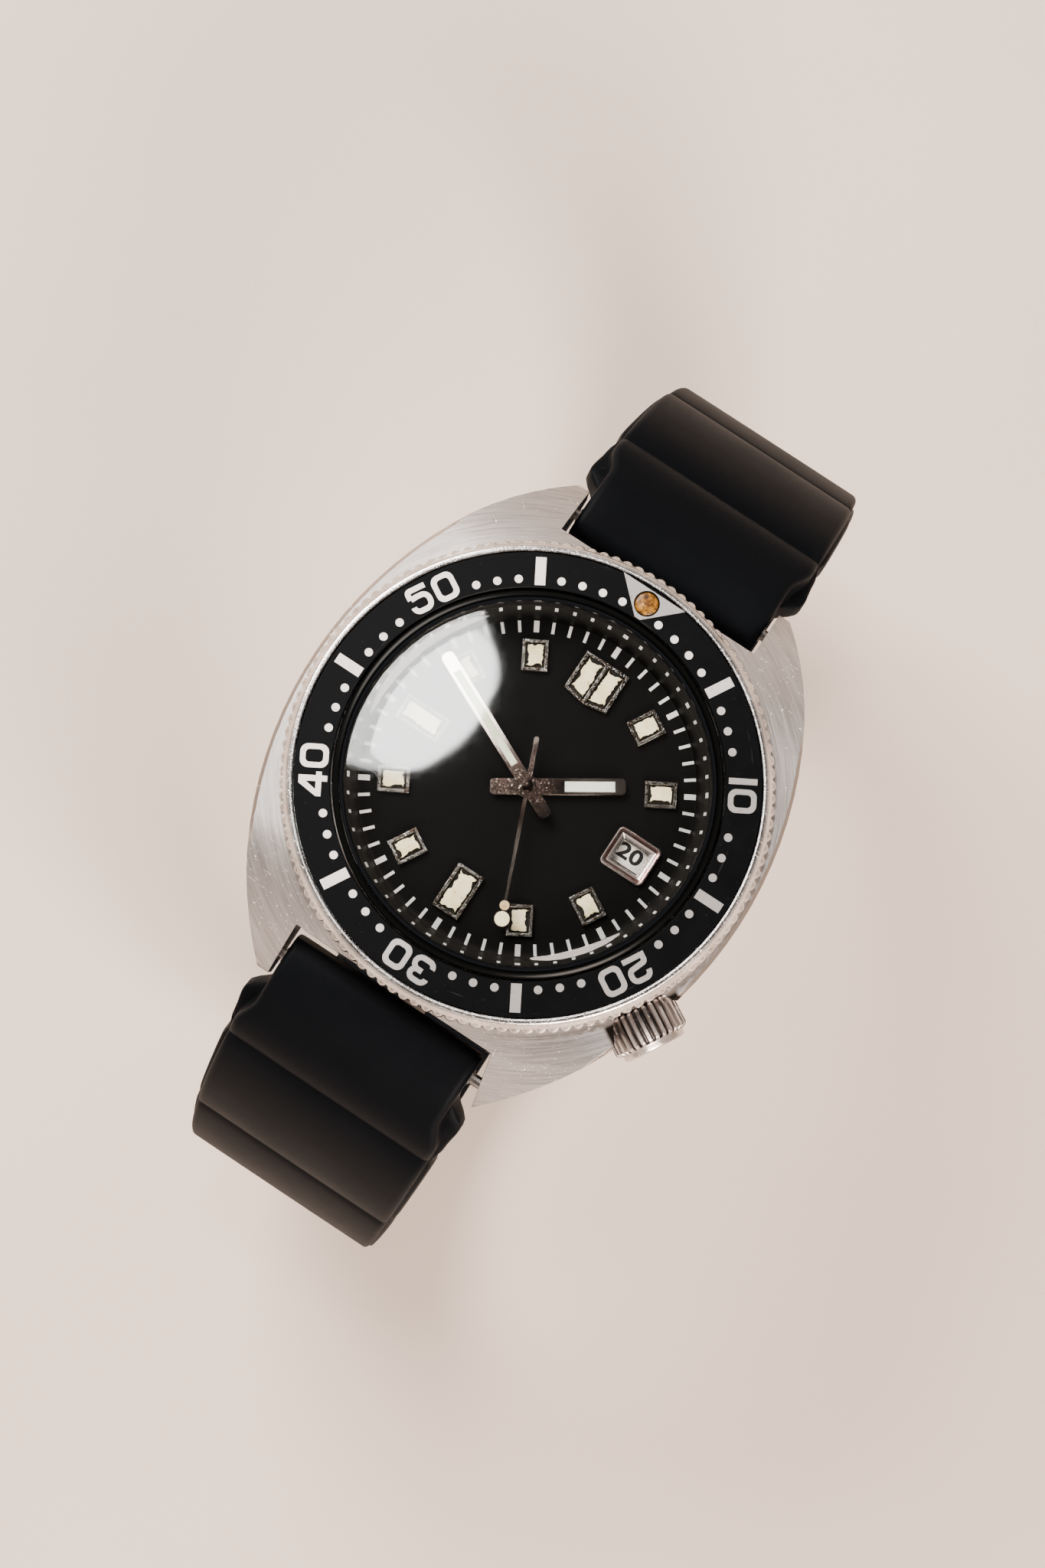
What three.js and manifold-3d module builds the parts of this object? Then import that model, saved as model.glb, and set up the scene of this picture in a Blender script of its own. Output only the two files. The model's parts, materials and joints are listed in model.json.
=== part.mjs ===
// Dive watch, buckled and standing on its strap. Millimetres, +Z up, 12 o'clock towards +Y.
// The head is laid out around its own centre: x and y are zero on the hands' axis, and z is zero
// on the top face of the bezel insert. The whole watch is then lifted onto the resting face.
import * as THREE from 'three';
import { mergeVertices } from 'three/addons/utils/BufferGeometryUtils.js';
import Module from 'manifold-3d';

const wasm = await Module();
wasm.setup();

// ---------------------------------------------------------------- driving dimensions
const DEG = Math.PI / 180;
const ROUND = 48;                 // segments of the large turned parts
const SMALL = 12;                 // segments of arbors and pins

const CASE = {
  halfWidth: 20.4, sideRadius: 33.6, lugTipY: 23.9, lugGapHalf: 9.4, notchY: 19.45,
  top: -2.6, bottom: -9.6, flatHalf: 13.5, slopeRadius: 16, chamfer: 0.3,
  neckOuter: 15.68, neckInner: 15.1, neckTop: -0.95, ringBore: 15.0, dialBore: 14.35, ledge: -3.2,
};
const BEZEL = { bore: 15.76, outer: 19.9, root: 19.68, bottom: -2.5, floor: -0.85, top: 0.12, teeth: 120 };
const INSERT = { inner: 15.8, outer: 18.7, bottom: -0.8, pipRadius: 0.98, pipDistance: 17.35 };
const CRYSTAL = { radius: 14.7, flat: 13.55, bottom: -0.9, edge: 0.35, top: 1.1 };
const DIAL = { radius: 14.25, bottom: -3.6, top: -3.2, hole: 0.75 };
const WINDOW = { x: 10.05, y: -0.1, width: 2.35, height: 1.9 };
const MARKER = { distance: 10.8, length: 2.6, width: 2.15, height: 0.38, rim: 0.28, pocket: 0.2 };
const HANDS = { hour: 56.8, minute: 295.1, seconds: 157.5 };   // degrees clockwise from 12
const MOVEMENT = { radius: 13.4, recess: 8.4, recessTop: -4.95, rimTop: -4.0, plateBottom: -6.4 };
const BACK = { thread: 16.2, flange: 17.4, outerBottom: -11.9, inner: -10.35, seat: -9.65 };
const CROWN = { angle: 120, z: -6.1, radius: 3.2, inner: 19.75, outer: 22.85, cap: 23.45, flutes: 30 };
const SPRING_BAR = { y: 21.9, z: -7.3, tube: 1.0, shoulder: 0.7, tip: 0.5, reach: 10.2 };
const STRAP = { neckHalf: 9.0, wideHalf: 10.35, endHalf: 9.1, half: 1.15 };
const BUCKLE = { y: 5, z: -65.2, farY: -9, farHalf: 1.4, armInner: 10.3, armOuter: 12.5, restZ: -71 };
const HEAD_Y = -1.7;              // the strap reaches further out at 12 than at 6

// ---------------------------------------------------------------- solid helpers
function outward(geometry) {
  // Turns the triangles of a closed geometry so that its volume is positive.
  const p = geometry.attributes.position;
  const index = Array.from(geometry.index.array);
  const [a, b, c] = [new THREE.Vector3(), new THREE.Vector3(), new THREE.Vector3()];
  let volume = 0;
  for (let i = 0; i < index.length; i += 3) {
    a.fromBufferAttribute(p, index[i]);
    b.fromBufferAttribute(p, index[i + 1]);
    c.fromBufferAttribute(p, index[i + 2]);
    volume += a.dot(b.cross(c));
  }
  if (volume < 0) index.reverse();
  geometry.setIndex(index);
  return geometry;
}

function welded(geometry) {
  const plain = geometry.clone();
  plain.deleteAttribute('normal');
  plain.deleteAttribute('uv');
  const merged = mergeVertices(plain, 1e-4);
  const kept = [];
  const index = merged.index.array;
  for (let i = 0; i < index.length; i += 3) {
    const [a, b, c] = [index[i], index[i + 1], index[i + 2]];
    if (a !== b && b !== c && c !== a) kept.push(a, b, c);
  }
  merged.setIndex(kept);
  return outward(merged);
}

function toManifold(geometry) {
  const g = welded(geometry);
  return new wasm.Manifold(new wasm.Mesh({
    numProp: 3,
    vertProperties: new Float32Array(g.attributes.position.array),
    triVerts: new Uint32Array(g.index.array),
  }));
}

function fromManifold(manifold) {
  const mesh = manifold.getMesh();
  const g = new THREE.BufferGeometry();
  g.setAttribute('position', new THREE.BufferAttribute(mesh.vertProperties, 3));
  g.setIndex(Array.from(mesh.triVerts));
  g.computeVertexNormals();
  return g;
}

function combine(operation, first, others) {
  const start = toManifold(first);
  return fromManifold(others.reduce((sum, other) => sum[operation](toManifold(other)), start));
}
const join = (first, ...others) => combine('add', first, others);
const cut = (first, ...others) => combine('subtract', first, others);
const common = (first, ...others) => combine('intersect', first, others);

function turned(profile, segments = ROUND) {
  // Revolves [radius, z] points about Z. A profile that leaves the axis closes on itself.
  const points = profile.map(([r, z]) => new THREE.Vector2(r, z));
  const first = points[0];
  const last = points[points.length - 1];
  if (first.x > 0 || last.x > 0) points.push(first.clone());
  return welded(new THREE.LatheGeometry(points, segments).rotateX(Math.PI / 2));
}

const ring = (inner, outer, z0, z1, segments = ROUND) =>
  turned([[inner, z0], [outer, z0], [outer, z1], [inner, z1]], segments);
const disc = (radius, z0, z1, segments = ROUND) =>
  turned([[0, z0], [radius, z0], [radius, z1], [0, z1]], segments);
const box = (x0, x1, y0, y1, z0, z1) =>
  new THREE.BoxGeometry(x1 - x0, y1 - y0, z1 - z0).translate((x0 + x1) / 2, (y0 + y1) / 2, (z0 + z1) / 2);

function shapeOf(points) {
  return new THREE.Shape(points.map(([x, y]) => new THREE.Vector2(x, y)));
}

function plate(shape, z0, z1, segments = 12) {
  const options = { depth: z1 - z0, bevelEnabled: false, curveSegments: segments };
  return welded(new THREE.ExtrudeGeometry(shape, options).translate(0, 0, z0));
}

function acrossX(shape, x0, x1, segments = 12) {
  // Extrudes a shape drawn in (y, z) along X.
  const axes = new THREE.Matrix4().makeBasis(
    new THREE.Vector3(0, 1, 0), new THREE.Vector3(0, 0, 1), new THREE.Vector3(1, 0, 0));
  return plate(shape, x0, x1, segments).applyMatrix4(axes);
}

function clockwise(geometry, degrees) {
  return geometry.rotateZ(-degrees * DEG);
}

function roundedBar(x0, x1, y0, y1, radius) {
  const s = new THREE.Shape();
  s.moveTo(x0 + radius, y0);
  s.lineTo(x1 - radius, y0);
  s.absarc(x1 - radius, y0 + radius, radius, -Math.PI / 2, 0);
  s.absarc(x1 - radius, y1 - radius, radius, 0, Math.PI / 2);
  s.absarc(x0 + radius, y1 - radius, radius, Math.PI / 2, Math.PI);
  s.absarc(x0 + radius, y0 + radius, radius, Math.PI, Math.PI * 1.5);
  return s;
}

function toothed(teeth, outer, root, z0, z1) {
  const points = [];
  for (let i = 0; i < teeth * 2; i += 1) {
    const r = i % 2 === 0 ? outer : root;
    const a = (i * Math.PI) / teeth;
    points.push([r * Math.cos(a), r * Math.sin(a)]);
  }
  return plate(shapeOf(points), z0, z1);
}

// ---------------------------------------------------------------- scene and materials
const watch = new THREE.Group();
watch.position.set(0, HEAD_Y, -BUCKLE.restZ);

const FINISH = {
  brushed: { color: 0xa9a19a, roughness: 0.38, metalness: 1 },
  polished: { color: 0xc4c2c0, roughness: 0.18, metalness: 1 },
  tarnished: { color: 0x6f635a, roughness: 0.45, metalness: 1 },
  brass: { color: 0xb08d4a, roughness: 0.35, metalness: 1 },
  black: { color: 0x121214, roughness: 0.55, metalness: 0.2 },
  rubber: { color: 0x151516, roughness: 0.7, metalness: 0 },
  lume: { color: 0xb9772c, roughness: 0.8, metalness: 0 },
  white: { color: 0xe9e7e2, roughness: 0.6, metalness: 0 },
  glass: { color: 0xdfe6e8, roughness: 0.05, metalness: 0, transparent: true, opacity: 0.2 },
};

function add(name, geometry, finish) {
  const mesh = new THREE.Mesh(geometry, new THREE.MeshStandardMaterial(FINISH[finish]));
  mesh.name = name;
  watch.add(mesh);
  return mesh;
}

// ---------------------------------------------------------------- crown axis
const crownDirection = new THREE.Vector3(Math.sin(CROWN.angle * DEG), Math.cos(CROWN.angle * DEG), 0);

function alongCrown(geometry) {
  // Lays a piece turned about Z along the crown's axis: its z becomes the distance from the centre.
  const side = new THREE.Vector3().crossVectors(new THREE.Vector3(0, 0, 1), crownDirection);
  const basis = new THREE.Matrix4().makeBasis(side, new THREE.Vector3(0, 0, 1), crownDirection);
  return geometry.applyMatrix4(basis).translate(0, 0, CROWN.z);
}

// ---------------------------------------------------------------- case
function caseOutline() {
  const { halfWidth, sideRadius, lugTipY, lugGapHalf, notchY } = CASE;
  const centre = sideRadius - halfWidth;
  const sweep = Math.asin(lugTipY / sideRadius);
  const s = new THREE.Shape();
  s.moveTo(lugGapHalf, -lugTipY);
  s.absarc(-centre, 0, sideRadius, -sweep, sweep);
  s.lineTo(lugGapHalf, lugTipY);
  s.lineTo(lugGapHalf, notchY);
  s.lineTo(-lugGapHalf, notchY);
  s.lineTo(-lugGapHalf, lugTipY);
  s.absarc(centre, 0, sideRadius, Math.PI - sweep, Math.PI + sweep);
  s.lineTo(-lugGapHalf, -lugTipY);
  s.lineTo(-lugGapHalf, -notchY);
  s.lineTo(lugGapHalf, -notchY);
  return s;
}

function caseSideProfile() {
  // Flat over the dial, then falling towards the lug tips; the tips are cut back underneath.
  const { top, bottom, flatHalf, slopeRadius, lugTipY } = CASE;
  const sweep = Math.asin((lugTipY - flatHalf) / slopeRadius);
  const underTip = bottom + 0.7;
  const s = new THREE.Shape();
  s.moveTo(-lugTipY + 2.4, bottom);
  s.lineTo(lugTipY - 2.4, bottom);
  s.lineTo(lugTipY - 0.2, underTip);
  s.absarc(flatHalf, top - slopeRadius, slopeRadius, Math.PI / 2 - sweep, Math.PI / 2);
  s.absarc(-flatHalf, top - slopeRadius, slopeRadius, Math.PI / 2, Math.PI / 2 + sweep);
  s.lineTo(-lugTipY + 0.2, underTip);
  return s;
}

function caseMiddle() {
  const block = new THREE.ExtrudeGeometry(caseOutline(), {
    depth: CASE.top - CASE.bottom - 2 * CASE.chamfer,
    bevelEnabled: true,
    bevelThickness: CASE.chamfer,
    bevelSize: CASE.chamfer,
    bevelOffset: -CASE.chamfer,
    bevelSegments: 1,
    curveSegments: 14,
  }).translate(0, 0, CASE.bottom + CASE.chamfer);
  const body = common(block, acrossX(caseSideProfile(), -22, 22));
  const neck = disc(CASE.neckOuter, CASE.top - 1, CASE.neckTop);
  const bore = turned([
    [0, CASE.bottom - 1], [BACK.thread + 0.05, CASE.bottom - 1], [BACK.thread + 0.05, CASE.bottom + 0.6],
    [CASE.dialBore, CASE.bottom + 0.6], [CASE.dialBore, CASE.ledge], [CASE.ringBore, CASE.ledge],
    [CASE.ringBore, -1.2], [CASE.neckInner, -1.2], [CASE.neckInner, 0], [0, 0],
  ]);
  const recess = alongCrown(turned([[0, 19.6], [4.1, 19.6], [5.2, 23.2], [5.2, 25], [0, 25]], 20));
  const tubeHole = alongCrown(disc(1.4, 12, 21, SMALL));
  const barHoles = [];
  for (const y of [-SPRING_BAR.y, SPRING_BAR.y]) {
    for (const side of [-1, 1]) {
      const hole = disc(SPRING_BAR.tip + 0.1, 8.8, SPRING_BAR.reach + 0.3, SMALL);
      barHoles.push(hole.rotateY((side * Math.PI) / 2).translate(0, y, SPRING_BAR.z));
    }
  }
  return cut(join(body, neck), bore, recess, tubeHole, ...barHoles);
}

function caseBack() {
  // A flanged lid whose plug turns into the case, with six key notches around its rim.
  const lid = turned([
    [0, BACK.inner], [14.2, BACK.inner], [14.2, -9.2], [BACK.thread, -9.2], [BACK.thread, BACK.seat],
    [BACK.flange, BACK.seat], [BACK.flange, -10.4], [16.4, BACK.outerBottom], [0, BACK.outerBottom],
  ]);
  const notches = [];
  for (let i = 0; i < 6; i += 1) {
    notches.push(box(15.2, 18, -1.4, 1.4, -13, -11.1).rotateZ(i * 60 * DEG));
  }
  return cut(lid, ...notches);
}

add('case_middle', caseMiddle(), 'brushed');
add('case_back', caseBack(), 'polished');
add('case_back_gasket', ring(14.42, 15.6, -9.14, -9.04), 'rubber');
add('crown_tube', alongCrown(ring(0.75, 1.35, 16.6, 20.7, SMALL)), 'polished');

// ---------------------------------------------------------------- bezel
function bezelRing() {
  const body = turned([
    [BEZEL.bore, BEZEL.bottom], [BEZEL.root - 0.02, BEZEL.bottom], [BEZEL.root - 0.02, -0.5],
    [19.2, BEZEL.top],
    [INSERT.outer + 0.05, BEZEL.top], [INSERT.outer + 0.05, BEZEL.floor], [BEZEL.bore, BEZEL.floor],
  ]);
  const grip = cut(toothed(BEZEL.teeth, BEZEL.outer, BEZEL.root, -2.35, -0.6), disc(19, -5, 2));
  return cut(join(body, grip), ring(16.3, 17.1, BEZEL.bottom - 0.2, -2.05));
}

function bezelInsert() {
  const pipHole = disc(INSERT.pipRadius + 0.06, -2, 1, 24).translate(0, INSERT.pipDistance, 0);
  return cut(ring(INSERT.inner, INSERT.outer, INSERT.bottom, 0), pipHole);
}

add('bezel_ring', bezelRing(), 'brushed');
add('bezel_insert', bezelInsert(), 'black');
const pip = disc(INSERT.pipRadius, INSERT.bottom, -0.12, 24);
add('bezel_pip', pip.translate(0, INSERT.pipDistance, 0), 'lume');
add('bezel_gasket', ring(16.4, 17.0, -2.58, -2.12), 'rubber');

// ---------------------------------------------------------------- crystal and its seat
add('crystal', turned([
  [0, CRYSTAL.bottom], [CRYSTAL.radius, CRYSTAL.bottom], [CRYSTAL.radius, CRYSTAL.edge],
  [CRYSTAL.flat, CRYSTAL.top], [0, CRYSTAL.top + 0.12],
]), 'glass');
add('crystal_gasket', ring(14.74, 15.06, -0.88, 0.12), 'rubber');
add('crystal_retaining_ring', ring(15.1, 15.64, -0.9, 0.12), 'brushed');
add('chapter_ring', turned([[13.75, -3.16], [14.94, -3.16], [14.94, -0.95], [14.55, -0.95]]), 'black');

// ---------------------------------------------------------------- dial
function windowCut(z0, z1) {
  const [w, h] = [WINDOW.width / 2, WINDOW.height / 2];
  return box(WINDOW.x - w, WINDOW.x + w, WINDOW.y - h, WINDOW.y + h, z0, z1);
}

function markerTray(outline, pockets) {
  const top = DIAL.top + MARKER.height;
  const tray = plate(outline, DIAL.top, top);
  return cut(tray, ...pockets.map((pocket) => plate(pocket, top - MARKER.pocket, top + 1)));
}

function rectangle(x0, x1, y0, y1) {
  return shapeOf([[x0, y0], [x1, y0], [x1, y1], [x0, y1]]);
}

function oblongMarker(distance, length, width) {
  const [w, l, rim] = [width / 2, length / 2, MARKER.rim];
  const outline = rectangle(-w, w, distance - l, distance + l);
  return markerTray(outline, [rectangle(rim - w, w - rim, distance - l + rim, distance + l - rim)]);
}

function doubleMarker() {
  // The plot at 12: two channels side by side, with a shallow point towards the centre.
  const [half, top, corner, point, rim] = [2.03, 12.05, 8.5, 8.1, MARKER.rim];
  const outline = shapeOf([[-half, corner], [0, point], [half, corner], [half, top], [-half, top]]);
  const inner = rim / 2;
  const right = [
    [inner, point + rim], [half - rim, corner + rim * 0.9], [half - rim, top - rim], [inner, top - rim],
  ];
  const left = right.map(([x, y]) => [-x, y]).reverse();
  return markerTray(outline, [shapeOf(right), shapeOf(left)]);
}

function dateFrame() {
  const outline = roundedBar(8.07, 12.07, -1.85, 1.65, 0.35);
  const bevel = roundedBar(8.5, 11.75, -1.42, 1.25, 0.2);
  const top = DIAL.top + MARKER.height;
  return cut(plate(outline, DIAL.top, top, 4), plate(bevel, top - 0.12, top + 1, 3), windowCut(-5, 0));
}

const dialBlank = disc(DIAL.radius, DIAL.bottom, DIAL.top);
add('dial', cut(dialBlank, disc(DIAL.hole, -5, 0, SMALL), windowCut(-5, 0)), 'black');
add('marker_12', doubleMarker(), 'tarnished');
add('marker_6', clockwise(oblongMarker(10.12, 4.05, 2.4), 180), 'tarnished');
add('marker_9', clockwise(oblongMarker(10.15, 4.0, 2.2), 270), 'tarnished');
for (const hour of [1, 2, 4, 5, 7, 8, 10, 11]) {
  const marker = oblongMarker(MARKER.distance, MARKER.length, MARKER.width);
  add(`marker_${hour}`, clockwise(marker, hour * 30), 'tarnished');
}
add('date_frame', dateFrame(), 'polished');
add('date_disc', ring(8.7, 12.9, -3.95, -3.72), 'white');

// ---------------------------------------------------------------- hands
function handSolid(outline, slot, hubRadius, hole, z0, thickness) {
  const hub = disc(hubRadius, z0, z0 + thickness, 24);
  const bore = disc(hole, z0 - 1, z0 + 1, SMALL);
  const blade = join(plate(outline, z0, z0 + thickness, 6), hub);
  return slot ? cut(blade, bore, plate(slot, z0 - 1, z0 + 1, 4)) : cut(blade, bore);
}

function secondsHand() {
  const [z0, z1] = [-1.78, -1.62];
  const blade = plate(shapeOf([[-0.19, 0], [0.19, 0], [0.11, 10.6], [-0.11, 10.6]]), z0, z1);
  const tail = plate(roundedBar(-0.2, 0.2, -4.0, 0.1, 0.19), z0, z1, 4);
  const smallDot = disc(0.45, z0, z1, 20).translate(0, 9.85, 0);
  const largeDot = disc(0.68, z0, z1, 20).translate(0, 10.95, 0);
  const boss = disc(0.45, z0, z1 + 0.1, 20);
  return cut(join(blade, tail, smallDot, largeDot, boss), disc(0.16, z0 - 1, z1 + 0.02, SMALL));
}

const hourBlade = roundedBar(-0.68, 0.68, -3.05, 7.95, 0.38);
const minuteBlade = roundedBar(-0.56, 0.56, -2.95, 12.65, 0.45);
add('hour_hand', clockwise(handSolid(hourBlade, rectangle(-0.42, 0.42, 3.0, 7.1), 0.95, 0.64, -2.76, 0.16),
  HANDS.hour), 'tarnished');
add('minute_hand', clockwise(handSolid(minuteBlade, rectangle(-0.3, 0.3, 2.0, 10.9), 0.78, 0.4, -2.24, 0.16),
  HANDS.minute), 'tarnished');
add('seconds_hand', clockwise(secondsHand(), HANDS.seconds), 'tarnished');

// ---------------------------------------------------------------- movement
const TRAIN = {
  barrel: [-2.95, 5.1], third: [3.64, -2.1], escape: [-2.76, -2.76], pallet: [-4.75, -4.86],
  balance: [-6.4, -6.6], minute: [0, 3.0], cockFoot: [-2.67, -10.2],
};
const at = (geometry, [x, y]) => geometry.translate(x, y, 0);
const arbor = (radius, z0, z1) => disc(radius, z0, z1, SMALL);

function mainPlate() {
  const blank = turned([
    [0.6, MOVEMENT.plateBottom], [MOVEMENT.radius, MOVEMENT.plateBottom], [MOVEMENT.radius, MOVEMENT.rimTop],
    [MOVEMENT.recess, MOVEMENT.rimTop], [MOVEMENT.recess, MOVEMENT.recessTop], [0.6, MOVEMENT.recessTop],
  ]);
  const stemChannel = alongCrown(disc(0.75, 7, 15, SMALL));
  const clutchPocket = alongCrown(disc(1.35, 7.9, 11.2, SMALL));
  return cut(blank, stemChannel, clutchPocket);
}

function trainBridge() {
  const bridge = turned([
    [0, -9.0], [13.2, -9.0], [13.2, -6.45], [12.3, -6.45], [12.3, -8.5], [0, -8.5],
  ]);
  const balanceWell = at(disc(4.5, -12, 0, 32), TRAIN.balance);
  const cockClearance = at(disc(2.0, -12, 0, 24), TRAIN.cockFoot);
  const link = at(box(0, 6, -2.2, 2.2, -12, 0).rotateZ(-44 * DEG), TRAIN.balance);
  const corner = at(box(-12, 0, -12, 0, -12, 0), [-5.2, -5.2]);
  return cut(bridge, balanceWell, cockClearance, link, corner, alongCrown(disc(0.75, 11, 15, SMALL)));
}

function balanceCock() {
  const reach = Math.hypot(TRAIN.cockFoot[0] - TRAIN.balance[0], TRAIN.cockFoot[1] - TRAIN.balance[1]);
  const arm = plate(roundedBar(-1, reach + 1, -1, 1, 0.9), -9.0, -8.5, 4).rotateZ(-44 * DEG);
  return join(at(arm, TRAIN.balance), at(disc(1.0, -9.0, -6.45, SMALL), TRAIN.cockFoot));
}

function spiralSpring() {
  const [turns, inner, outer, width] = [2.5, 0.8, 2.6, 0.14];
  const steps = 35;
  const edge = (offset) => Array.from({ length: steps + 1 }, (_, i) => {
    const angle = (i / steps) * turns * 2 * Math.PI;
    const r = inner + ((outer - inner) * i) / steps + offset;
    return [r * Math.cos(angle), r * Math.sin(angle)];
  });
  return plate(shapeOf([...edge(width / 2), ...edge(-width / 2).reverse()]), -8.42, -8.22);
}

function balanceWheel() {
  const rim = ring(3.3, 3.8, -8.1, -7.8, 32);
  const arm = box(-3.5, 3.5, -0.25, 0.25, -8.05, -7.85);
  return at(join(rim, arm, arbor(0.55, -8.1, -7.55), arbor(0.2, -8.48, -6.45)), TRAIN.balance);
}

function palletFork() {
  // Drawn with its pivot at the origin, the balance towards +X and the escape wheel towards -X.
  const lever = shapeOf([
    [1.55, 0.25], [0.3, 0.2], [0.2, 1.9], [-0.9, 2.0], [-0.9, 1.7], [-0.2, 1.5],
    [-0.2, -1.5], [-0.9, -1.7], [-0.9, -2.0], [0.2, -1.9], [0.3, -0.2], [1.55, -0.25],
  ]);
  const turn = Math.atan2(TRAIN.balance[1] - TRAIN.pallet[1], TRAIN.balance[0] - TRAIN.pallet[0]);
  return at(join(plate(lever, -7.5, -7.3), arbor(0.2, -7.7, -6.45)).rotateZ(turn), TRAIN.pallet);
}

function rotorWeight() {
  // A half disc with a heavy rim, on a full hub that turns on the bearing post.
  const weight = turned([[1.8, -9.5], [10.4, -9.5], [10.4, -10.2], [12.9, -10.2], [12.9, -9.2], [1.8, -9.2]]);
  const half = common(weight, box(-14, 14, -14, 0.55, -12, -8));
  return join(half, ring(1.28, 2.4, -9.8, -9.12, 24));
}

add('main_plate', mainPlate(), 'brass');
add('movement_ring', cut(ring(13.45, 14.3, -9.0, -4.0), alongCrown(disc(0.75, 11, 16, SMALL))), 'white');
add('train_bridge', trainBridge(), 'polished');
add('balance_cock', balanceCock(), 'polished');
const drum = join(toothed(56, 5.0, 4.75, -7.3, -7.0), disc(4.6, -8.1, -6.85, 36));
add('barrel', at(drum, TRAIN.barrel), 'brass');
add('centre_wheel', cut(join(
  toothed(64, 3.55, 3.37, -6.75, -6.5), toothed(7, 0.8, 0.6, -7.35, -6.75), disc(0.38, -7.35, -4.92, SMALL),
), arbor(0.22, -9, 0)), 'brass');
add('third_wheel', at(join(
  toothed(60, 3.64, 3.46, -7.9, -7.7), toothed(8, 0.6, 0.46, -6.9, -6.45), arbor(0.28, -8.45, -6.42),
), TRAIN.third), 'brass');
add('fourth_wheel', join(
  toothed(72, 3.4, 3.25, -8.35, -8.2), toothed(8, 0.5, 0.38, -8.2, -7.45), arbor(0.15, -8.45, -1.62),
), 'brass');
add('escape_wheel', at(join(
  toothed(15, 2.0, 1.5, -7.5, -7.3), toothed(6, 0.45, 0.3, -8.42, -8.0), arbor(0.2, -8.45, -6.45),
), TRAIN.escape), 'polished');
add('pallet_fork', palletFork(), 'polished');
add('balance_wheel', balanceWheel(), 'brass');
add('hairspring', at(spiralSpring(), TRAIN.balance), 'polished');
add('cannon_pinion', cut(join(
  toothed(12, 0.72, 0.58, -4.85, -4.65), disc(0.38, -4.9, -1.98, SMALL)), arbor(0.22, -9, 0)), 'polished');
add('minute_wheel', at(join(
  toothed(36, 2.22, 2.02, -4.85, -4.66), toothed(8, 0.57, 0.42, -4.68, -4.25), arbor(0.25, -4.9, -4.02),
), TRAIN.minute), 'brass');
add('hour_wheel', cut(join(
  toothed(32, 2.37, 2.17, -4.45, -4.26), disc(0.62, -4.45, -2.5, SMALL)), arbor(0.46, -9, 0)), 'brass');
add('rotor', rotorWeight(), 'polished');
add('rotor_bearing', disc(1.2, -10.15, -9.04, 24), 'polished');

// ---------------------------------------------------------------- winding parts and crown
function squareBar(side, s0, s1) {
  return box(-side / 2, side / 2, -side / 2, side / 2, s0, s1);
}

function crownSolid() {
  const flutes = toothed(CROWN.flutes, CROWN.radius, CROWN.radius - 0.24, CROWN.inner, CROWN.outer);
  const cap = turned([[0, CROWN.outer - 0.5], [2.75, CROWN.outer - 0.5], [2.6, CROWN.cap - 0.12],
    [2.2, CROWN.cap], [0, CROWN.cap]], 32);
  const skirt = disc(1.9, CROWN.inner - 1, 21.9, 24);
  const stemSeat = disc(0.6, 20, 22.3, SMALL);
  return cut(join(flutes, cap), skirt, stemSeat);
}

add('winding_stem', alongCrown(join(arbor(0.5, 10.9, 22.2), squareBar(0.7, 7.7, 11))), 'polished');
add('clutch_wheel', alongCrown(cut(toothed(12, 1.25, 1.0, 8.6, 10.4), squareBar(0.84, 8, 11))), 'polished');
add('crown', alongCrown(crownSolid()), 'brushed');
add('crown_gasket', alongCrown(ring(1.43, 1.86, 20.1, 20.6, 24)), 'rubber');

// ---------------------------------------------------------------- spring bars
function springBar(y) {
  const { tube, shoulder, tip, reach, z } = SPRING_BAR;
  const half = [
    [0, 0], [tube, 0], [tube, 8.7], [shoulder, 8.7], [shoulder, 9.15], [tip, 9.15], [tip, reach], [0, reach],
  ];
  const mirrored = half.map(([r, s]) => [r, -s]).reverse();
  const profile = [...mirrored.slice(0, -2), ...half.slice(2)];
  return turned(profile, SMALL).rotateY(Math.PI / 2).translate(0, y, z);
}

add('spring_bar_12', springBar(SPRING_BAR.y), 'polished');
add('spring_bar_6', springBar(-SPRING_BAR.y), 'polished');

// ---------------------------------------------------------------- strap
// Centre lines in (y, z), from the lugs round under the wrist to the buckle.
const SHORT_PATH = [
  [20.0, -6.9], [21.9, -7.3], [24.4, -8.1], [28.4, -10.4], [32.4, -14.4], [37.2, -21.8], [40.8, -31.5],
  [42.4, -42], [41.2, -51], [37, -58.6], [31, -63.4], [24, -65.2], [14, -65.2], [3.1, -65.2],
];
const LONG_PATH = [
  [-20.0, -6.9], [-21.9, -7.3], [-24.2, -8.5], [-27.6, -11.2], [-31.0, -16.0], [-34.8, -24], [-37.4, -33],
  [-39.0, -44], [-37.6, -53], [-32.4, -60.5], [-24.6, -64.4], [-16, -65.3], [-9, -65.5], [-2, -66.7],
  [5, -68.1], [12, -68.4], [24, -68.4], [31, -66.8], [36, -63.6],
];
const CREASES = [0, 10.5, 24.5, 38.5];       // arc lengths where the cross ridges meet
const RIDGE_HEIGHTS = [1.35, 0.95, 0.7];

function ridge(s) {
  for (let i = 0; i < RIDGE_HEIGHTS.length; i += 1) {
    const [from, to] = [CREASES[i], CREASES[i + 1]];
    const swell = Math.sin((Math.PI * (s - from)) / (to - from));
    if (s < to) return RIDGE_HEIGHTS[i] * Math.sqrt(Math.max(0, swell));
  }
  return 0;
}

function halfWidthAt(s, length) {
  const { neckHalf, wideHalf, endHalf } = STRAP;
  if (s < 5.0) return neckHalf;
  if (s < 6.5) return THREE.MathUtils.lerp(neckHalf, wideHalf, (s - 5.0) / 1.5);
  return THREE.MathUtils.lerp(wideHalf, endHalf, Math.min(1, (s - 6.5) / (0.75 * length)));
}

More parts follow.
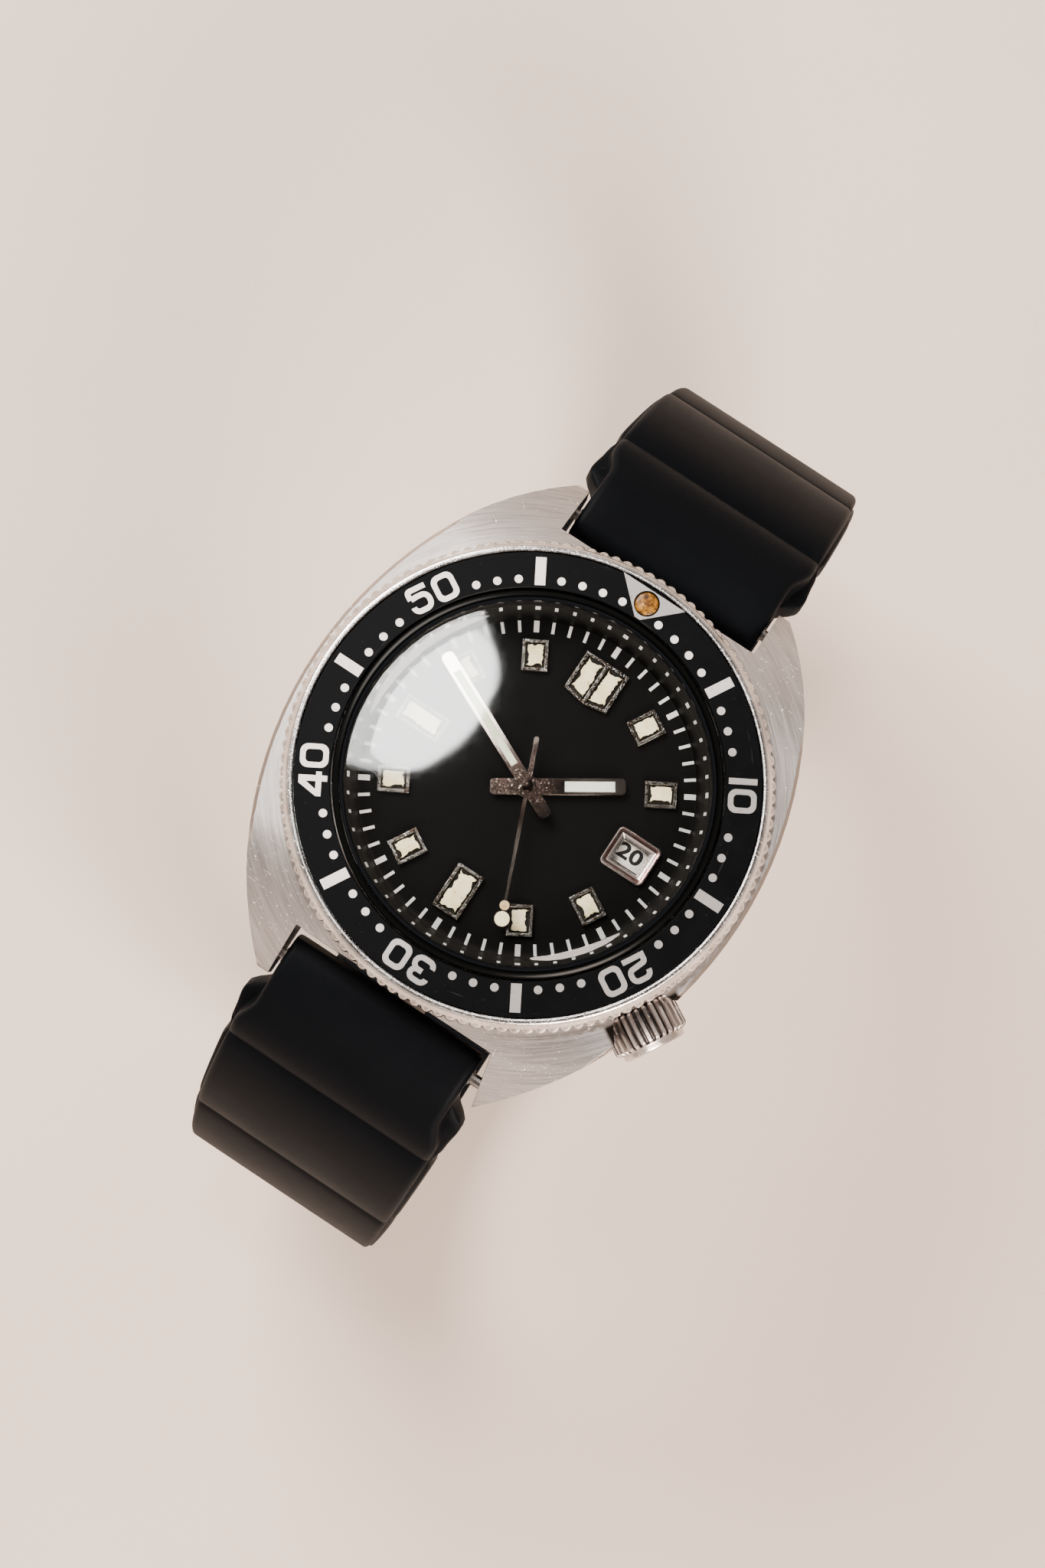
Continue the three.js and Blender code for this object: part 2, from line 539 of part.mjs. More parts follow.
function pathFrame(curve, u, outwardSign) {
  const point = curve.getPointAt(u);
  const tangent = curve.getTangentAt(u);
  return { point, normal: new THREE.Vector2(-tangent.y, tangent.x).multiplyScalar(outwardSign) };
}

function strapSolid(path, outwardSign) {
  const curve = new THREE.SplineCurve(path.map(([y, z]) => new THREE.Vector2(y, z)));
  curve.arcLengthDivisions = 400;
  const length = curve.getLength();
  const stations = Math.round(length / 1.5);
  const g = new THREE.BoxGeometry(2, 1, 2, 1, stations, 1).translate(0, 0.5, 0);
  const p = g.attributes.position;
  for (let i = 0; i < p.count; i += 1) {
    const u = THREE.MathUtils.clamp(p.getY(i), 0, 1);
    const s = u * length;
    const { point, normal } = pathFrame(curve, u, outwardSign);
    const barBulge = Math.max(0, 1 - Math.abs(s - 2) / 4) * 0.75;
    const outer = STRAP.half + ridge(s);
    const inner = STRAP.half + barBulge;
    const offset = p.getZ(i) > 0 ? outer : -inner;
    p.setXYZ(i, p.getX(i) * halfWidthAt(s, length), point.x + normal.x * offset, point.y + normal.y * offset);
  }
  return welded(g);
}

function arcLengthAt(path, y) {
  // Distance along the strap to where it passes the given y on its way under the wrist.
  const curve = new THREE.SplineCurve(path.map(([a, b]) => new THREE.Vector2(a, b)));
  const lengths = curve.getLengths(400);
  const i = lengths.findIndex((_, k) => k > 200 && curve.getPoint(k / 400).x > y);
  return lengths[i];
}

const TONGUE_SLOT = arcLengthAt(LONG_PATH, 3.5);

function barHole(y, z, radius) {
  return disc(radius, -13, 13, SMALL).rotateY(Math.PI / 2).translate(0, y, z);
}

function shortStrap() {
  const tongueSlot = box(-1.45, 1.45, 0, 7.4, -70, -60);
  return cut(strapSolid(SHORT_PATH, 1), barHole(SPRING_BAR.y, SPRING_BAR.z, SPRING_BAR.tube + 0.1),
    barHole(BUCKLE.y, BUCKLE.z, 0.9), tongueSlot);
}

function longStrap() {
  const curve = new THREE.SplineCurve(LONG_PATH.map(([y, z]) => new THREE.Vector2(y, z)));
  curve.arcLengthDivisions = 400;
  const length = curve.getLength();
  const slots = [];
  for (let k = -4; k <= 2; k += 1) {
    const { point, normal } = pathFrame(curve, (TONGUE_SLOT + k * 7.5) / length, 1);
    const slot = box(-1.3, 1.3, -2.4, 2.4, -3, 3).rotateX(Math.atan2(normal.y, normal.x) - Math.PI / 2);
    slots.push(slot.translate(0, point.x, point.y));
  }
  const springBarHole = barHole(-SPRING_BAR.y, SPRING_BAR.z, SPRING_BAR.tube + 0.1);
  return cut(strapSolid(LONG_PATH, -1), springBarHole, ...slots);
}

add('strap_short', shortStrap(), 'rubber');
add('strap_long', longStrap(), 'rubber');

// ---------------------------------------------------------------- buckle and keepers
function buckleFrame() {
  const { y, z, farY, farHalf, armInner, armOuter, restZ } = BUCKLE;
  const side = new THREE.Shape();
  side.moveTo(farY - farHalf, restZ);
  side.lineTo(farY + farHalf, restZ);
  side.lineTo(y + 0.5, z - 1.9);
  side.absarc(y, z, 1.9, -Math.PI * 0.42, Math.PI * 0.55);
  side.lineTo(farY - farHalf, restZ + 3.6);
  const arms = [acrossX(side, -armOuter, -armInner, 6), acrossX(side, armInner, armOuter, 6)];
  const farBar = box(-armOuter, armOuter, farY - farHalf, farY + farHalf, restZ, -67.3);
  const tipNotch = box(-1.4, 1.4, farY - 3, farY + 3, restZ - 1, -69.25);
  return cut(join(farBar, ...arms), tipNotch, barHole(y, z, 0.85));
}

function buckleTongue() {
  const { y, z } = BUCKLE;
  const arm = shapeOf([
    [5.6, -66.3], [4.3, -67.2], [2.7, -69.15], [0.9, -70.0], [-2, -70.4], [-10.2, -70.5],
    [-10.2, -69.6], [-2, -69.4], [0.6, -69.0], [2.0, -68.2], [3.5, -66.3], [3.6, -65],
  ]);
  const eye = acrossX(new THREE.Shape().absarc(y, z, 1.55, 0, 2 * Math.PI), -1.0, 1.0, 10);
  return cut(join(acrossX(arm, -1.0, 1.0), eye), barHole(y, z, 0.88));
}

function keeper(y0, y1) {
  const { restZ } = BUCKLE;
  return cut(box(-11.0, 11.0, y0, y1, restZ, -62.3), box(-9.8, 9.8, y0 - 1, y1 + 1, restZ + 1.1, -63.3));
}

add('buckle_frame', buckleFrame(), 'brushed');
add('buckle_bar', disc(0.8, -12.3, 12.3, SMALL).rotateY(Math.PI / 2).translate(0, BUCKLE.y, BUCKLE.z),
  'polished');
add('buckle_tongue', buckleTongue(), 'polished');
add('keeper_fixed', keeper(9.5, 13.5), 'rubber');
add('keeper_free', keeper(16.5, 20.5), 'rubber');

export default watch;
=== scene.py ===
import json
import math
import random

import bpy
from mathutils import Matrix, Vector

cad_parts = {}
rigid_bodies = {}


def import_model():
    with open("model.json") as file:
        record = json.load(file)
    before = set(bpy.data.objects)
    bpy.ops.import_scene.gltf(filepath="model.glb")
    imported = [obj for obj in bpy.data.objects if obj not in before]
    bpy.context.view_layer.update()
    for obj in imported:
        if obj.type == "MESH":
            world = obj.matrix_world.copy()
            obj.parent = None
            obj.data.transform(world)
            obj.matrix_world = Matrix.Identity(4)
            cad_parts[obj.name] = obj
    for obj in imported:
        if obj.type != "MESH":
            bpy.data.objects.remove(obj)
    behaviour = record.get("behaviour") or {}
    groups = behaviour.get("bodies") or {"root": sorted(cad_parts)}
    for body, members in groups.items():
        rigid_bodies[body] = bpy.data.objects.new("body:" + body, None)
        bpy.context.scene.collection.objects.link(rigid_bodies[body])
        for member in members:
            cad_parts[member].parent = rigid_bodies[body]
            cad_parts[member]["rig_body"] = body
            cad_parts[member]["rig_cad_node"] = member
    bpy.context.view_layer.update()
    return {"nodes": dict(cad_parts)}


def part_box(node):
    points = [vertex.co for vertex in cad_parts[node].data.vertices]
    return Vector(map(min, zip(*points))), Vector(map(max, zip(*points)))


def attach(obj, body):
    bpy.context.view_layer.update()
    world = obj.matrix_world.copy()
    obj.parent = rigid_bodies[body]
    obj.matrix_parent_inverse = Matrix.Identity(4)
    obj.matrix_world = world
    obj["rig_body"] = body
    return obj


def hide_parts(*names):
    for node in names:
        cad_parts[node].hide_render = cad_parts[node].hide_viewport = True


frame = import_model()
nodes = frame["nodes"]
random.seed(61)

# The watch head has its own plan in millimetres: the hands' axis is x = y = 0, 12 o'clock is
# towards +Y, and z = 0 is the top face of the bezel insert.
MM = 0.001
insert_lo, insert_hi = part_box("bezel_insert")
HEAD = Vector(((insert_lo.x + insert_hi.x) / 2, (insert_lo.y + insert_hi.y) / 2, insert_hi.z))
TO_FRAME = Matrix.Translation(HEAD) @ Matrix.Scale(MM, 4)
# The crown points this many degrees clockwise from 12 o'clock, and its axis lies at this height.
CROWN_ANGLE, CROWN_Z = 120, -6.1
# How far from the crown's axis the steel is painted dark: a painted shadow in the case's recess, and darker
# between the crown's ribs.
RECESS_SHADE_REACH, RIB_DARK_REACH = 4.95, 3.08


# ---------------------------------------------------------------- shader maths
class Flow:
    """A number, colour or vector on its way between shader nodes."""

    def __init__(self, finish, socket):
        self.finish, self.socket = finish, socket

    def math(self, operation, *others, clamp=False):
        inputs = dict(enumerate((self, *others)))
        return self.finish.node("Math", {"operation": operation, "use_clamp": clamp}, inputs)

    def __add__(self, other):
        return self.math("ADD", other)

    def __sub__(self, other):
        return self.math("SUBTRACT", other)

    def __rsub__(self, other):
        return self.finish.node("Math", {"operation": "SUBTRACT"}, {0: other, 1: self})

    def __mul__(self, other):
        return self.math("MULTIPLY", other)

    __radd__, __rmul__ = __add__, __mul__

    def above(self, low, high):
        """0 below low, 1 above high, and a soft step between."""
        return self.finish.node("MapRange", {"interpolation_type": "SMOOTHSTEP"},
                                {"Value": self, "From Min": low, "From Max": high})


class Finish:
    """One material, with the textures that its colour, gloss and relief are mixed from."""

    def __init__(self, name):
        self.material = bpy.data.materials.new(name)
        self.material.use_nodes = True
        self.tree = self.material.node_tree
        self.tree.nodes.clear()
        self.place = self.node("TexCoord", output="Object")

    def node(self, kind, settings=None, inputs=None, output=0):
        made = self.tree.nodes.new("ShaderNode" + kind)
        for key, value in (settings or {}).items():
            if key == "stops":
                ramp = made.color_ramp
                while len(ramp.elements) < len(value):
                    ramp.elements.new(0.5)
                for stop, (position, colour) in zip(ramp.elements, value):
                    stop.position, stop.color = position, (*colour, 1)
            else:
                setattr(made, key, value)
        for key, value in (inputs or {}).items():
            if isinstance(value, Flow):
                self.tree.links.new(value.socket, made.inputs[key])
            else:
                made.inputs[key].default_value = value
        return Flow(self, made.outputs[output]) if len(made.outputs) else None

    def noise(self, per_mm, detail=3.0, rough=0.55, where=None):
        inputs = {"Vector": where or self.place, "Scale": per_mm / MM, "Detail": detail, "Roughness": rough}
        return self.node("TexNoise", None, inputs)

    def cells(self, per_mm, where=None):
        inputs = {"Vector": where or self.place, "Scale": per_mm / MM}
        return self.node("TexVoronoi", {"feature": "F1"}, inputs)

    def stretched(self, x, y, z, turn=(0, 0, 0)):
        """The place drawn out along some directions, for grain and scratches."""
        return self.node("Mapping", None, {"Vector": self.place, "Rotation": turn, "Scale": (x, y, z)})

    def parts(self, vector):
        """The x, y and z of a place or direction."""
        split = self.node("SeparateXYZ", None, {0: vector})
        return [Flow(self, socket) for socket in split.socket.node.outputs]

    def facing_up(self):
        """1 on faces that look straight up, 0 on upright ones."""
        return self.parts(self.node("NewGeometry", output="Normal"))[2]

    def measure(self):
        """Sets the distance from the hands' axis, the angle round it and the height over the insert."""
        centred = self.node("Mapping", None, {"Vector": self.place, "Location": tuple(-HEAD)})
        x, y, self.height = self.parts(centred)
        self.radius = (x * x + y * y).math("SQRT")
        self.angle = y.math("ARCTAN2", x)

    def polar(self, radial, round_about, up):
        """A place made of the measured distance, angle and height, each at its own scale."""
        self.measure()
        turned_way = self.angle * (round_about * MM)
        return self.node("CombineXYZ", None, {0: self.radius * radial, 1: turned_way, 2: self.height * up})

    def near_crown(self, reach_mm):
        """1 within reach of the crown's axis and 0 beyond. Sets the way along that axis as well."""
        centre = tuple(-HEAD - Vector((0, 0, CROWN_Z * MM)))
        centred = self.node("Mapping", None, {"Vector": self.place, "Location": centre})
        turn = (0, 0, math.radians(CROWN_ANGLE - 90))
        turned_place = self.node("Mapping", None, {"Vector": centred, "Rotation": turn})
        self.along_crown, side, up = self.parts(turned_place)
        distance = (side * side + up * up).math("SQRT")
        return 1 - distance.above((reach_mm - 0.3) * MM, reach_mm * MM)

    def mix(self, amount, a, b):
        return self.node("Mix", {"data_type": "RGBA"}, {0: amount, 6: colour(a), 7: colour(b)}, output=2)

    def relief(self, height, strength=0.3, depth_mm=0.02):
        return self.node("Bump", None, {"Height": height, "Strength": strength, "Distance": depth_mm * MM})

    def surface(self, **inputs):
        named = {key.replace("_", " "): value for key, value in inputs.items()}
        shader = self.node("BsdfPrincipled", None, named)
        self.node("OutputMaterial", None, {"Surface": shader})
        return self.material


def colour(value):
    return value if isinstance(value, Flow) else (*value, 1)


# ---------------------------------------------------------------- finishes
def brushed_case_steel():
    """Fine brushing in circles round the dial on top, polished flanks, and the scratches of wear."""
    f = Finish("case_steel")
    rings = f.polar(1, 0.5, 0.1)
    grain = f.noise(9, 4, 0.6, rings)
    coarse = f.noise(3.2, 2, 0.5, rings)
    top = f.facing_up().above(0.71, 0.76)
    scratch_a = f.noise(1.1, 2, 0.5, f.stretched(1, 9, 1, (0, 0, 0.7))).above(0.70, 0.74)
    scratch_b = f.noise(1.3, 2, 0.5, f.stretched(9, 1, 1, (0, 0, 0.25))).above(0.71, 0.75)
    smudge = f.noise(0.12, 3, 0.6)
    nicks = f.noise(1.8, 2, 0.4).above(0.72, 0.78)
    lay = (grain * 0.7 + coarse * 0.3).above(0.36, 0.64)
    tone = f.mix(lay * top + 0.6 * (1 - top), (0.61, 0.565, 0.54), (0.78, 0.735, 0.71))
    tone = f.mix(smudge.above(0.45, 0.75) * 0.25, tone, (0.52, 0.475, 0.45))
    # painted shadow: the steel in the case's recess round the crown is painted near black and made rougher
    recess_shade = f.near_crown(RECESS_SHADE_REACH) * f.along_crown.above(19.7 * MM, 20.3 * MM)
    tone = f.mix(recess_shade, tone, (0.03, 0.026, 0.024))
    rough = 0.15 + top * 0.17 + grain * top * 0.10 + smudge * 0.06 + scratch_a * 0.1 + recess_shade * 0.3
    lines = (grain + coarse * 0.3) * top + scratch_a * 1.4 + scratch_b * 1.2 - nicks * 2.0
    return f.surface(Base_Color=tone, Metallic=1.0, Roughness=rough, Normal=f.relief(lines, 0.6, 0.020))


def worn_bright_steel(name, dark=(0.56, 0.54, 0.53), light=(0.86, 0.845, 0.83), gloss=0.16, nicked=1.0,
                      ribs=False):
    """Polished steel that has been knocked: dents, dull patches, scratches, and, where there are ribs,
    painted darker between them.
    """
    f = Finish(name)
    dents = f.noise(1.7, 3, 0.6)
    fine = f.noise(7, 3, 0.7)
    pits = f.cells(2.3).above(0.0, 0.26)
    scratches = f.noise(1.5, 2, 0.5, f.stretched(1, 8, 3, (0.3, 0.2, 0.9))).above(0.62, 0.7)
    patches = f.noise(0.35, 3, 0.6)
    tone = f.mix(patches.above(0.35, 0.7) * 0.7 + fine * 0.3, dark, light)
    tone = f.mix((1 - pits) * 0.35 * nicked, tone, (0.14, 0.125, 0.115))
    if ribs:
        # painted near black between the crown's ribs and inside its bore
        between = f.near_crown(RIB_DARK_REACH) * (1 - f.along_crown.above(22.7 * MM, 22.85 * MM))
        tone = f.mix(between, tone, (0.035, 0.032, 0.034))
    rough = gloss + patches * 0.14 + fine * 0.08 + scratches * 0.1
    bumps = dents * (0.9 * nicked) + fine * 0.25 + pits * (0.5 * nicked) + scratches * 0.3
    return f.surface(Base_Color=tone, Metallic=1.0, Roughness=rough, Normal=f.relief(bumps, 0.55, 0.045))


def aged_plating(floor_mm):
    """Tarnished, speckled frames: brown stains, edges painted bright as a painted highlight, and a black bed
    under the paint.
    """
    f = Finish("marker_plating")
    f.measure()
    stain = f.noise(1.6, 4, 0.65)
    speckle = f.noise(6.5, 3, 0.6)
    # painted highlight: faces that do not look up, the bevelled edges, are painted bright
    edge = 1 - f.facing_up().above(0.55, 0.95)
    tone = f.mix(stain.above(0.40, 0.66), (0.25, 0.235, 0.22), (0.085, 0.062, 0.05))
    tone = f.mix(speckle.above(0.36, 0.50), (0.03, 0.024, 0.02), tone)
    tone = f.mix(speckle.above(0.62, 0.70) * 0.8 + edge * 0.35, tone, (0.80, 0.77, 0.73))
    bed = 1 - f.height.above((floor_mm - 0.02) * MM, (floor_mm + 0.02) * MM)
    tone = f.mix(bed, tone, (0.012, 0.011, 0.009))
    rough = 0.16 + stain * 0.2 + bed * 0.4
    return f.surface(Base_Color=tone, Metallic=1 - bed, Roughness=rough,
                     Normal=f.relief(speckle + stain * 0.5, 0.5, 0.03))


def hand_metal():
    """Thin polished hands: dark brown with tarnish, speckled near the boss, painted lighter towards the tips
    as a painted reflection, and with edges painted bright as a painted highlight.
    """
    f = Finish("hand_metal")
    f.measure()
    near_boss = 1 - f.radius.above(0.6 * MM, 3.2 * MM)
    stain = f.noise(1.2, 4, 0.65)
    speckle = f.noise(7, 3, 0.6)
    edge = 1 - f.facing_up().above(0.55, 0.95)
    tone = f.mix(stain, (0.036, 0.026, 0.022), (0.075, 0.054, 0.046))
    # painted reflection: the hand is painted a lighter grey-brown from 2.4 mm out towards its tip
    tone = f.mix(f.radius.above(2.4 * MM, 5.0 * MM) * 0.8, tone, (0.40, 0.335, 0.30))
    # painted highlight: the edges are painted bright, with pale specks near the boss
    tone = f.mix(speckle.above(0.60, 0.68) * (0.15 + near_boss * 0.5) + edge * 0.75, tone, (0.74, 0.70, 0.67))
    tone = f.mix((1 - speckle).above(0.60, 0.68) * (0.2 + near_boss * 0.5), tone, (0.03, 0.02, 0.017))
    return f.surface(Base_Color=tone, Metallic=1.0, Roughness=0.10 + near_boss * 0.10 + speckle * 0.06,
                     Normal=f.relief(speckle * near_boss + stain * 0.2, 0.4, 0.03))


def date_frame_steel():
    """Polished: the flat flange painted dark rose-brown as a painted reflection, and the slopes painted
    bright as a painted highlight.
    """
    f = Finish("date_frame_steel")
    slope = 1 - f.facing_up().above(0.85, 0.96)
    haze = f.noise(0.8, 3)
    specks = f.noise(6, 3, 0.7).above(0.68, 0.74)
    # painted reflection: the flat flange is painted dark rose-brown to grey, and the slopes bright as a
    # painted highlight
    tone = f.mix(haze.above(0.40, 0.62), (0.50, 0.32, 0.295), (0.42, 0.375, 0.345))
    tone = f.mix(slope, tone, (0.93, 0.885, 0.87))
    tone = f.mix(specks * 0.5, tone, (0.80, 0.77, 0.74))
    return f.surface(Base_Color=tone, Metallic=1.0, Roughness=0.20 + haze * 0.06,
                     Normal=f.relief(haze, 0.1, 0.004))


def plain_steel():
    """Clean steel of the hidden pieces, with a faint drawn grain."""
    f = Finish("bright_steel")
    grain = f.noise(6, 4, 0.65, f.stretched(1, 1, 4))
    haze = f.noise(0.3, 3)
    tone = f.mix(grain * 0.6 + haze * 0.4, (0.50, 0.49, 0.48), (0.70, 0.69, 0.68))
    return f.surface(Base_Color=tone, Metallic=1.0, Roughness=0.2 + haze * 0.12 + grain * 0.06,
                     Normal=f.relief(grain, 0.3, 0.01))


def strap_rubber(name, dusty=1.0):
    """Old moulded rubber: a fine skin grain, a soft sheen where it is handled, and caught dust."""
    f = Finish(name)
    skin = f.noise(11, 2, 0.6)
    pores = f.cells(6)
    sheen = f.noise(0.16, 3, 0.6)
    lint = f.noise(1.6, 5, 0.75).above(0.715, 0.74) * f.noise(0.28, 2).above(0.48, 0.58)
    tone = f.mix(sheen, (0.0046, 0.0056, 0.0074), (0.0074, 0.0088, 0.0113))
    tone = f.mix(lint * (0.55 * dusty), tone, (0.34, 0.32, 0.28))
    rough = 0.40 + sheen * 0.12 + skin * 0.1
    return f.surface(Base_Color=tone, Roughness=rough, Specular_IOR_Level=0.08,
                     Normal=f.relief(skin * 0.7 + pores * 0.5 + lint * 1.5, 0.3, 0.02))


def insert_black():
    """Anodised black, with hair scratches and grey dust near its edges."""
    f = Finish("insert_black")
    hair = f.noise(1.6, 3, 0.6, f.polar(1, 2.0, 1)).above(0.66, 0.72)
    dust = f.noise(3.4, 4, 0.7).above(0.64, 0.76)
    mottle = f.noise(0.5, 4, 0.6)
    tone = f.mix(mottle, (0.003, 0.0034, 0.0042), (0.0064, 0.007, 0.0082))
    tone = f.mix(dust * 0.25 + hair * 0.18, tone, (0.12, 0.115, 0.11))
    return f.surface(Base_Color=tone, Roughness=0.30 + mottle * 0.14, Specular_IOR_Level=0.13,
                     Normal=f.relief(dust - hair, 0.35, 0.015))


def bare_silver(name, bright, dim, metal=0.35):
    """Bare metal markings, bright on one side of the watch and greyer on the other."""
    f = Finish(name)
    x, y, _ = f.parts(f.place)
    # brighter towards one side of the watch and greyer towards the other
    grey_side = (x * 1.2 - y * 0.5).above(-4 * MM, 13 * MM)
    grain = f.noise(8, 3, 0.7)
    worn = f.noise(2.0, 4, 0.7).above(0.56, 0.74)
    tone = f.mix(grey_side * 0.9, bright, dim)
    tone = f.mix(worn * 0.45 + grain * 0.2, tone, tuple(c * 0.45 for c in dim))
    return f.surface(Base_Color=tone, Metallic=metal, Roughness=0.42 + grain * 0.15,
                     Normal=f.relief(grain, 0.3, 0.01))


def dial_black():
    """The dial's flat black, with a fine tooth and pale specks."""
    f = Finish("dial_black")
    tooth = f.noise(9, 3, 0.6)
    specks = f.noise(3.0, 4, 0.7).above(0.69, 0.75)
    tone = f.mix(f.noise(0.3, 3), (0.0030, 0.0032, 0.0038), (0.0052, 0.0054, 0.0062))
    tone = f.mix(specks * 0.3, tone, (0.09, 0.085, 0.08))
    return f.surface(Base_Color=tone, Roughness=0.5 + tooth * 0.12, Specular_IOR_Level=0.16,
                     Normal=f.relief(tooth, 0.25, 0.01))


def gloss_black(name, gloss):
    """Smooth black lacquer with a little grit in it."""
    f = Finish(name)
    film = f.noise(0.5, 2, 0.5)
    grit = f.noise(5, 3, 0.7).above(0.68, 0.76)
    tone = f.mix(grit * 0.06, (0.003, 0.0036, 0.0034), (0.06, 0.06, 0.05))
    return f.surface(Base_Color=tone, Roughness=gloss + film * 0.12, Specular_IOR_Level=0.16,
                     Normal=f.relief(film, 0.1, 0.002))


def aged_paint(name, pale, deep, spots, gloss=0.75):
    """Luminous paint with a dry, grainy face and brown spots."""
    f = Finish(name)
    body = f.noise(1.3, 4, 0.6)
    grain = f.noise(7, 4, 0.7)
    spot = f.noise(2.6, 3, 0.6).above(0.66, 0.74)
    tone = f.mix(body.above(0.35, 0.7), pale, deep)
    tone = f.mix(spot * spots, tone, (0.12, 0.07, 0.025))
    return f.surface(Base_Color=tone, Roughness=gloss, Specular_IOR_Level=0.3,
                     Normal=f.relief(grain + body, 0.5, 0.05))


def amber_pip():
    """The pip's paint has turned orange and brown, in flecks."""
    f = Finish("amber_pip")
    flecks = f.noise(3.2, 5, 0.7)
    deep = f.cells(2.6)
    tone = f.node("ValToRGB", {"stops": [(0.32, (0.022, 0.009, 0.003)), (0.46, (0.12, 0.050, 0.010)),
                                         (0.56, (0.30, 0.145, 0.030)), (0.70, (0.46, 0.27, 0.08))]},
                  {0: flecks * 0.75 + deep * 0.25})
    return f.surface(Base_Color=tone, Roughness=0.42, Coat_Weight=0.15, Coat_Roughness=0.12,
                     Normal=f.relief(flecks, 0.4, 0.05))


def white_enamel():
    """The date ring's white."""
    f = Finish("date_white")
    grain = f.noise(5, 3, 0.6)
    return f.surface(Base_Color=f.mix(grain, (0.93, 0.89, 0.85), (0.98, 0.95, 0.91)), Roughness=0.5,
                     Normal=f.relief(grain, 0.15, 0.01))


def print_black():
    """The date's printed numbers."""
    f = Finish("print_black")
    grain = f.noise(9, 3, 0.6)
    return f.surface(Base_Color=f.mix(grain, (0.006, 0.006, 0.007), (0.02, 0.02, 0.02)), Roughness=0.55,
                     Normal=f.relief(grain, 0.15, 0.01))


def brass():
    """The movement's brass, turned in circles."""
    f = Finish("movement_brass")
    grain = f.noise(7, 4, 0.6, f.polar(1, 3, 1))
    haze = f.noise(0.6, 3)
    return f.surface(Base_Color=f.mix(haze, (0.52, 0.38, 0.17), (0.74, 0.57, 0.30)), Metallic=1.0,
                     Roughness=0.26 + grain * 0.12, Normal=f.relief(grain, 0.3, 0.01))


def clear_crystal():
    """Hardened glass: it mirrors a little face on and more at a slant, with a few hairlines."""
    f = Finish("crystal_clear")
    hair = f.noise(0.9, 2, 0.5, f.stretched(1, 7, 1, (0, 0, 0.5))).above(0.71, 0.73)
    slant = f.node("LayerWeight", None, {"Blend": 0.5}, output="Facing")
    mirror = slant.math("POWER", 5.0) * 0.9 + 0.042
    shine = f.node("BsdfAnisotropic", None, {"Color": (1, 1, 1, 1), "Roughness": 0.03})
    clear = f.node("BsdfTransparent", None, {"Color": (0.985, 0.99, 0.985, 1)})
    both = f.node("MixShader", None, {0: mirror * 0.8 + hair * 0.02, 1: clear, 2: shine})
    f.node("OutputMaterial", None, {"Surface": both})
    return f.material


STEEL = brushed_case_steel()
RIM = worn_bright_steel("rim_steel")
CROWN_STEEL = worn_bright_steel("crown_steel", (0.52, 0.48, 0.465), (0.80, 0.75, 0.73), 0.2, 0.4, ribs=True)
BACK_STEEL = worn_bright_steel("back_steel", (0.45, 0.43, 0.42), (0.66, 0.64, 0.62), 0.26, 0.25)
BUCKLE_STEEL = worn_bright_steel("buckle_steel", (0.42, 0.40, 0.39), (0.68, 0.66, 0.64), 0.24, 0.3)
BRIGHT = plain_steel()
FRAMES = aged_plating(-2.97)
DATE_FRAME = date_frame_steel()
HANDS = hand_metal()
RUBBER = strap_rubber("strap_rubber")
SEAL = strap_rubber("seal_rubber", 0.0)
INSERT = insert_black()
SILVER = bare_silver("insert_silver", (0.93, 0.93, 0.92), (0.33, 0.325, 0.325))
ARROW_SILVER = bare_silver("arrow_silver", (0.46, 0.46, 0.46), (0.40, 0.40, 0.40), 0.6)
PRINT = bare_silver("dial_print", (0.86, 0.87, 0.88), (0.78, 0.79, 0.80), 0.0)
DIAL = dial_black()
CHAPTER = gloss_black("chapter_black", 0.34)
# painted shade: the steel crystal retaining ring is coloured as black lacquer, standing in for the shade it
# lies in
RETAINER_PAINTED_DARK = gloss_black("retainer_black", 0.2)
CREAM = aged_paint("cream_paint", (1.0, 0.94, 0.70), (0.92, 0.82, 0.52), 0.4)
PALE_GREEN = aged_paint("pale_green_paint", (0.80, 0.88, 0.74), (0.70, 0.78, 0.62), 0.2)
WHITE_GREEN = aged_paint("white_green_paint", (0.84, 0.91, 0.86), (0.76, 0.82, 0.76), 0.15)
TAN = aged_paint("tan_paint", (0.70, 0.55, 0.36), (0.48, 0.33, 0.18), 0.6)
AMBER = amber_pip()
DATE_WHITE = white_enamel()
DATE_BLACK = print_black()
BRASS = brass()
CRYSTAL = clear_crystal()


# ---------------------------------------------------------------- modelling helpers
def only(piece):
    """Selects this piece alone and makes it the active one."""
    bpy.ops.object.select_all(action="DESELECT")
    piece.select_set(True)
    bpy.context.view_layer.objects.active = piece
    return piece


def cleaned(piece, merge_mm=0.0005):
    """Merges doubles and turns every face outwards, while the piece is still in millimetres."""
    only(piece)
    bpy.ops.object.mode_set(mode="EDIT")
    bpy.ops.mesh.select_all(action="SELECT")
    bpy.ops.mesh.remove_doubles(threshold=merge_mm)
    bpy.ops.mesh.normals_make_consistent(inside=False)
    bpy.ops.object.mode_set(mode="OBJECT")
    return piece


def apply_modifier(piece, kind, **settings):
    modifier = only(piece).modifiers.new(kind.title(), kind)
    for key, value in settings.items():
        setattr(modifier, key, value)
    bpy.ops.object.modifier_apply(modifier=modifier.name)
    return piece


def finished(piece, body, material, slot, *replaced, smooth=35, matrix=TO_FRAME):
    """Puts a piece made in millimetres in its place on the watch, and hands it to its body."""
    bpy.context.view_layer.update()
    piece.matrix_world = matrix @ piece.matrix_world
    only(piece)
    bpy.ops.object.transform_apply(location=True, rotation=True, scale=True)
    bpy.ops.object.shade_smooth_by_angle(angle=math.radians(smooth))
    piece.data.materials.clear()
    piece.data.materials.append(material)
    piece.data.name = piece.name
    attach(piece, body)
    if replaced:
        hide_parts(*replaced)
    return piece


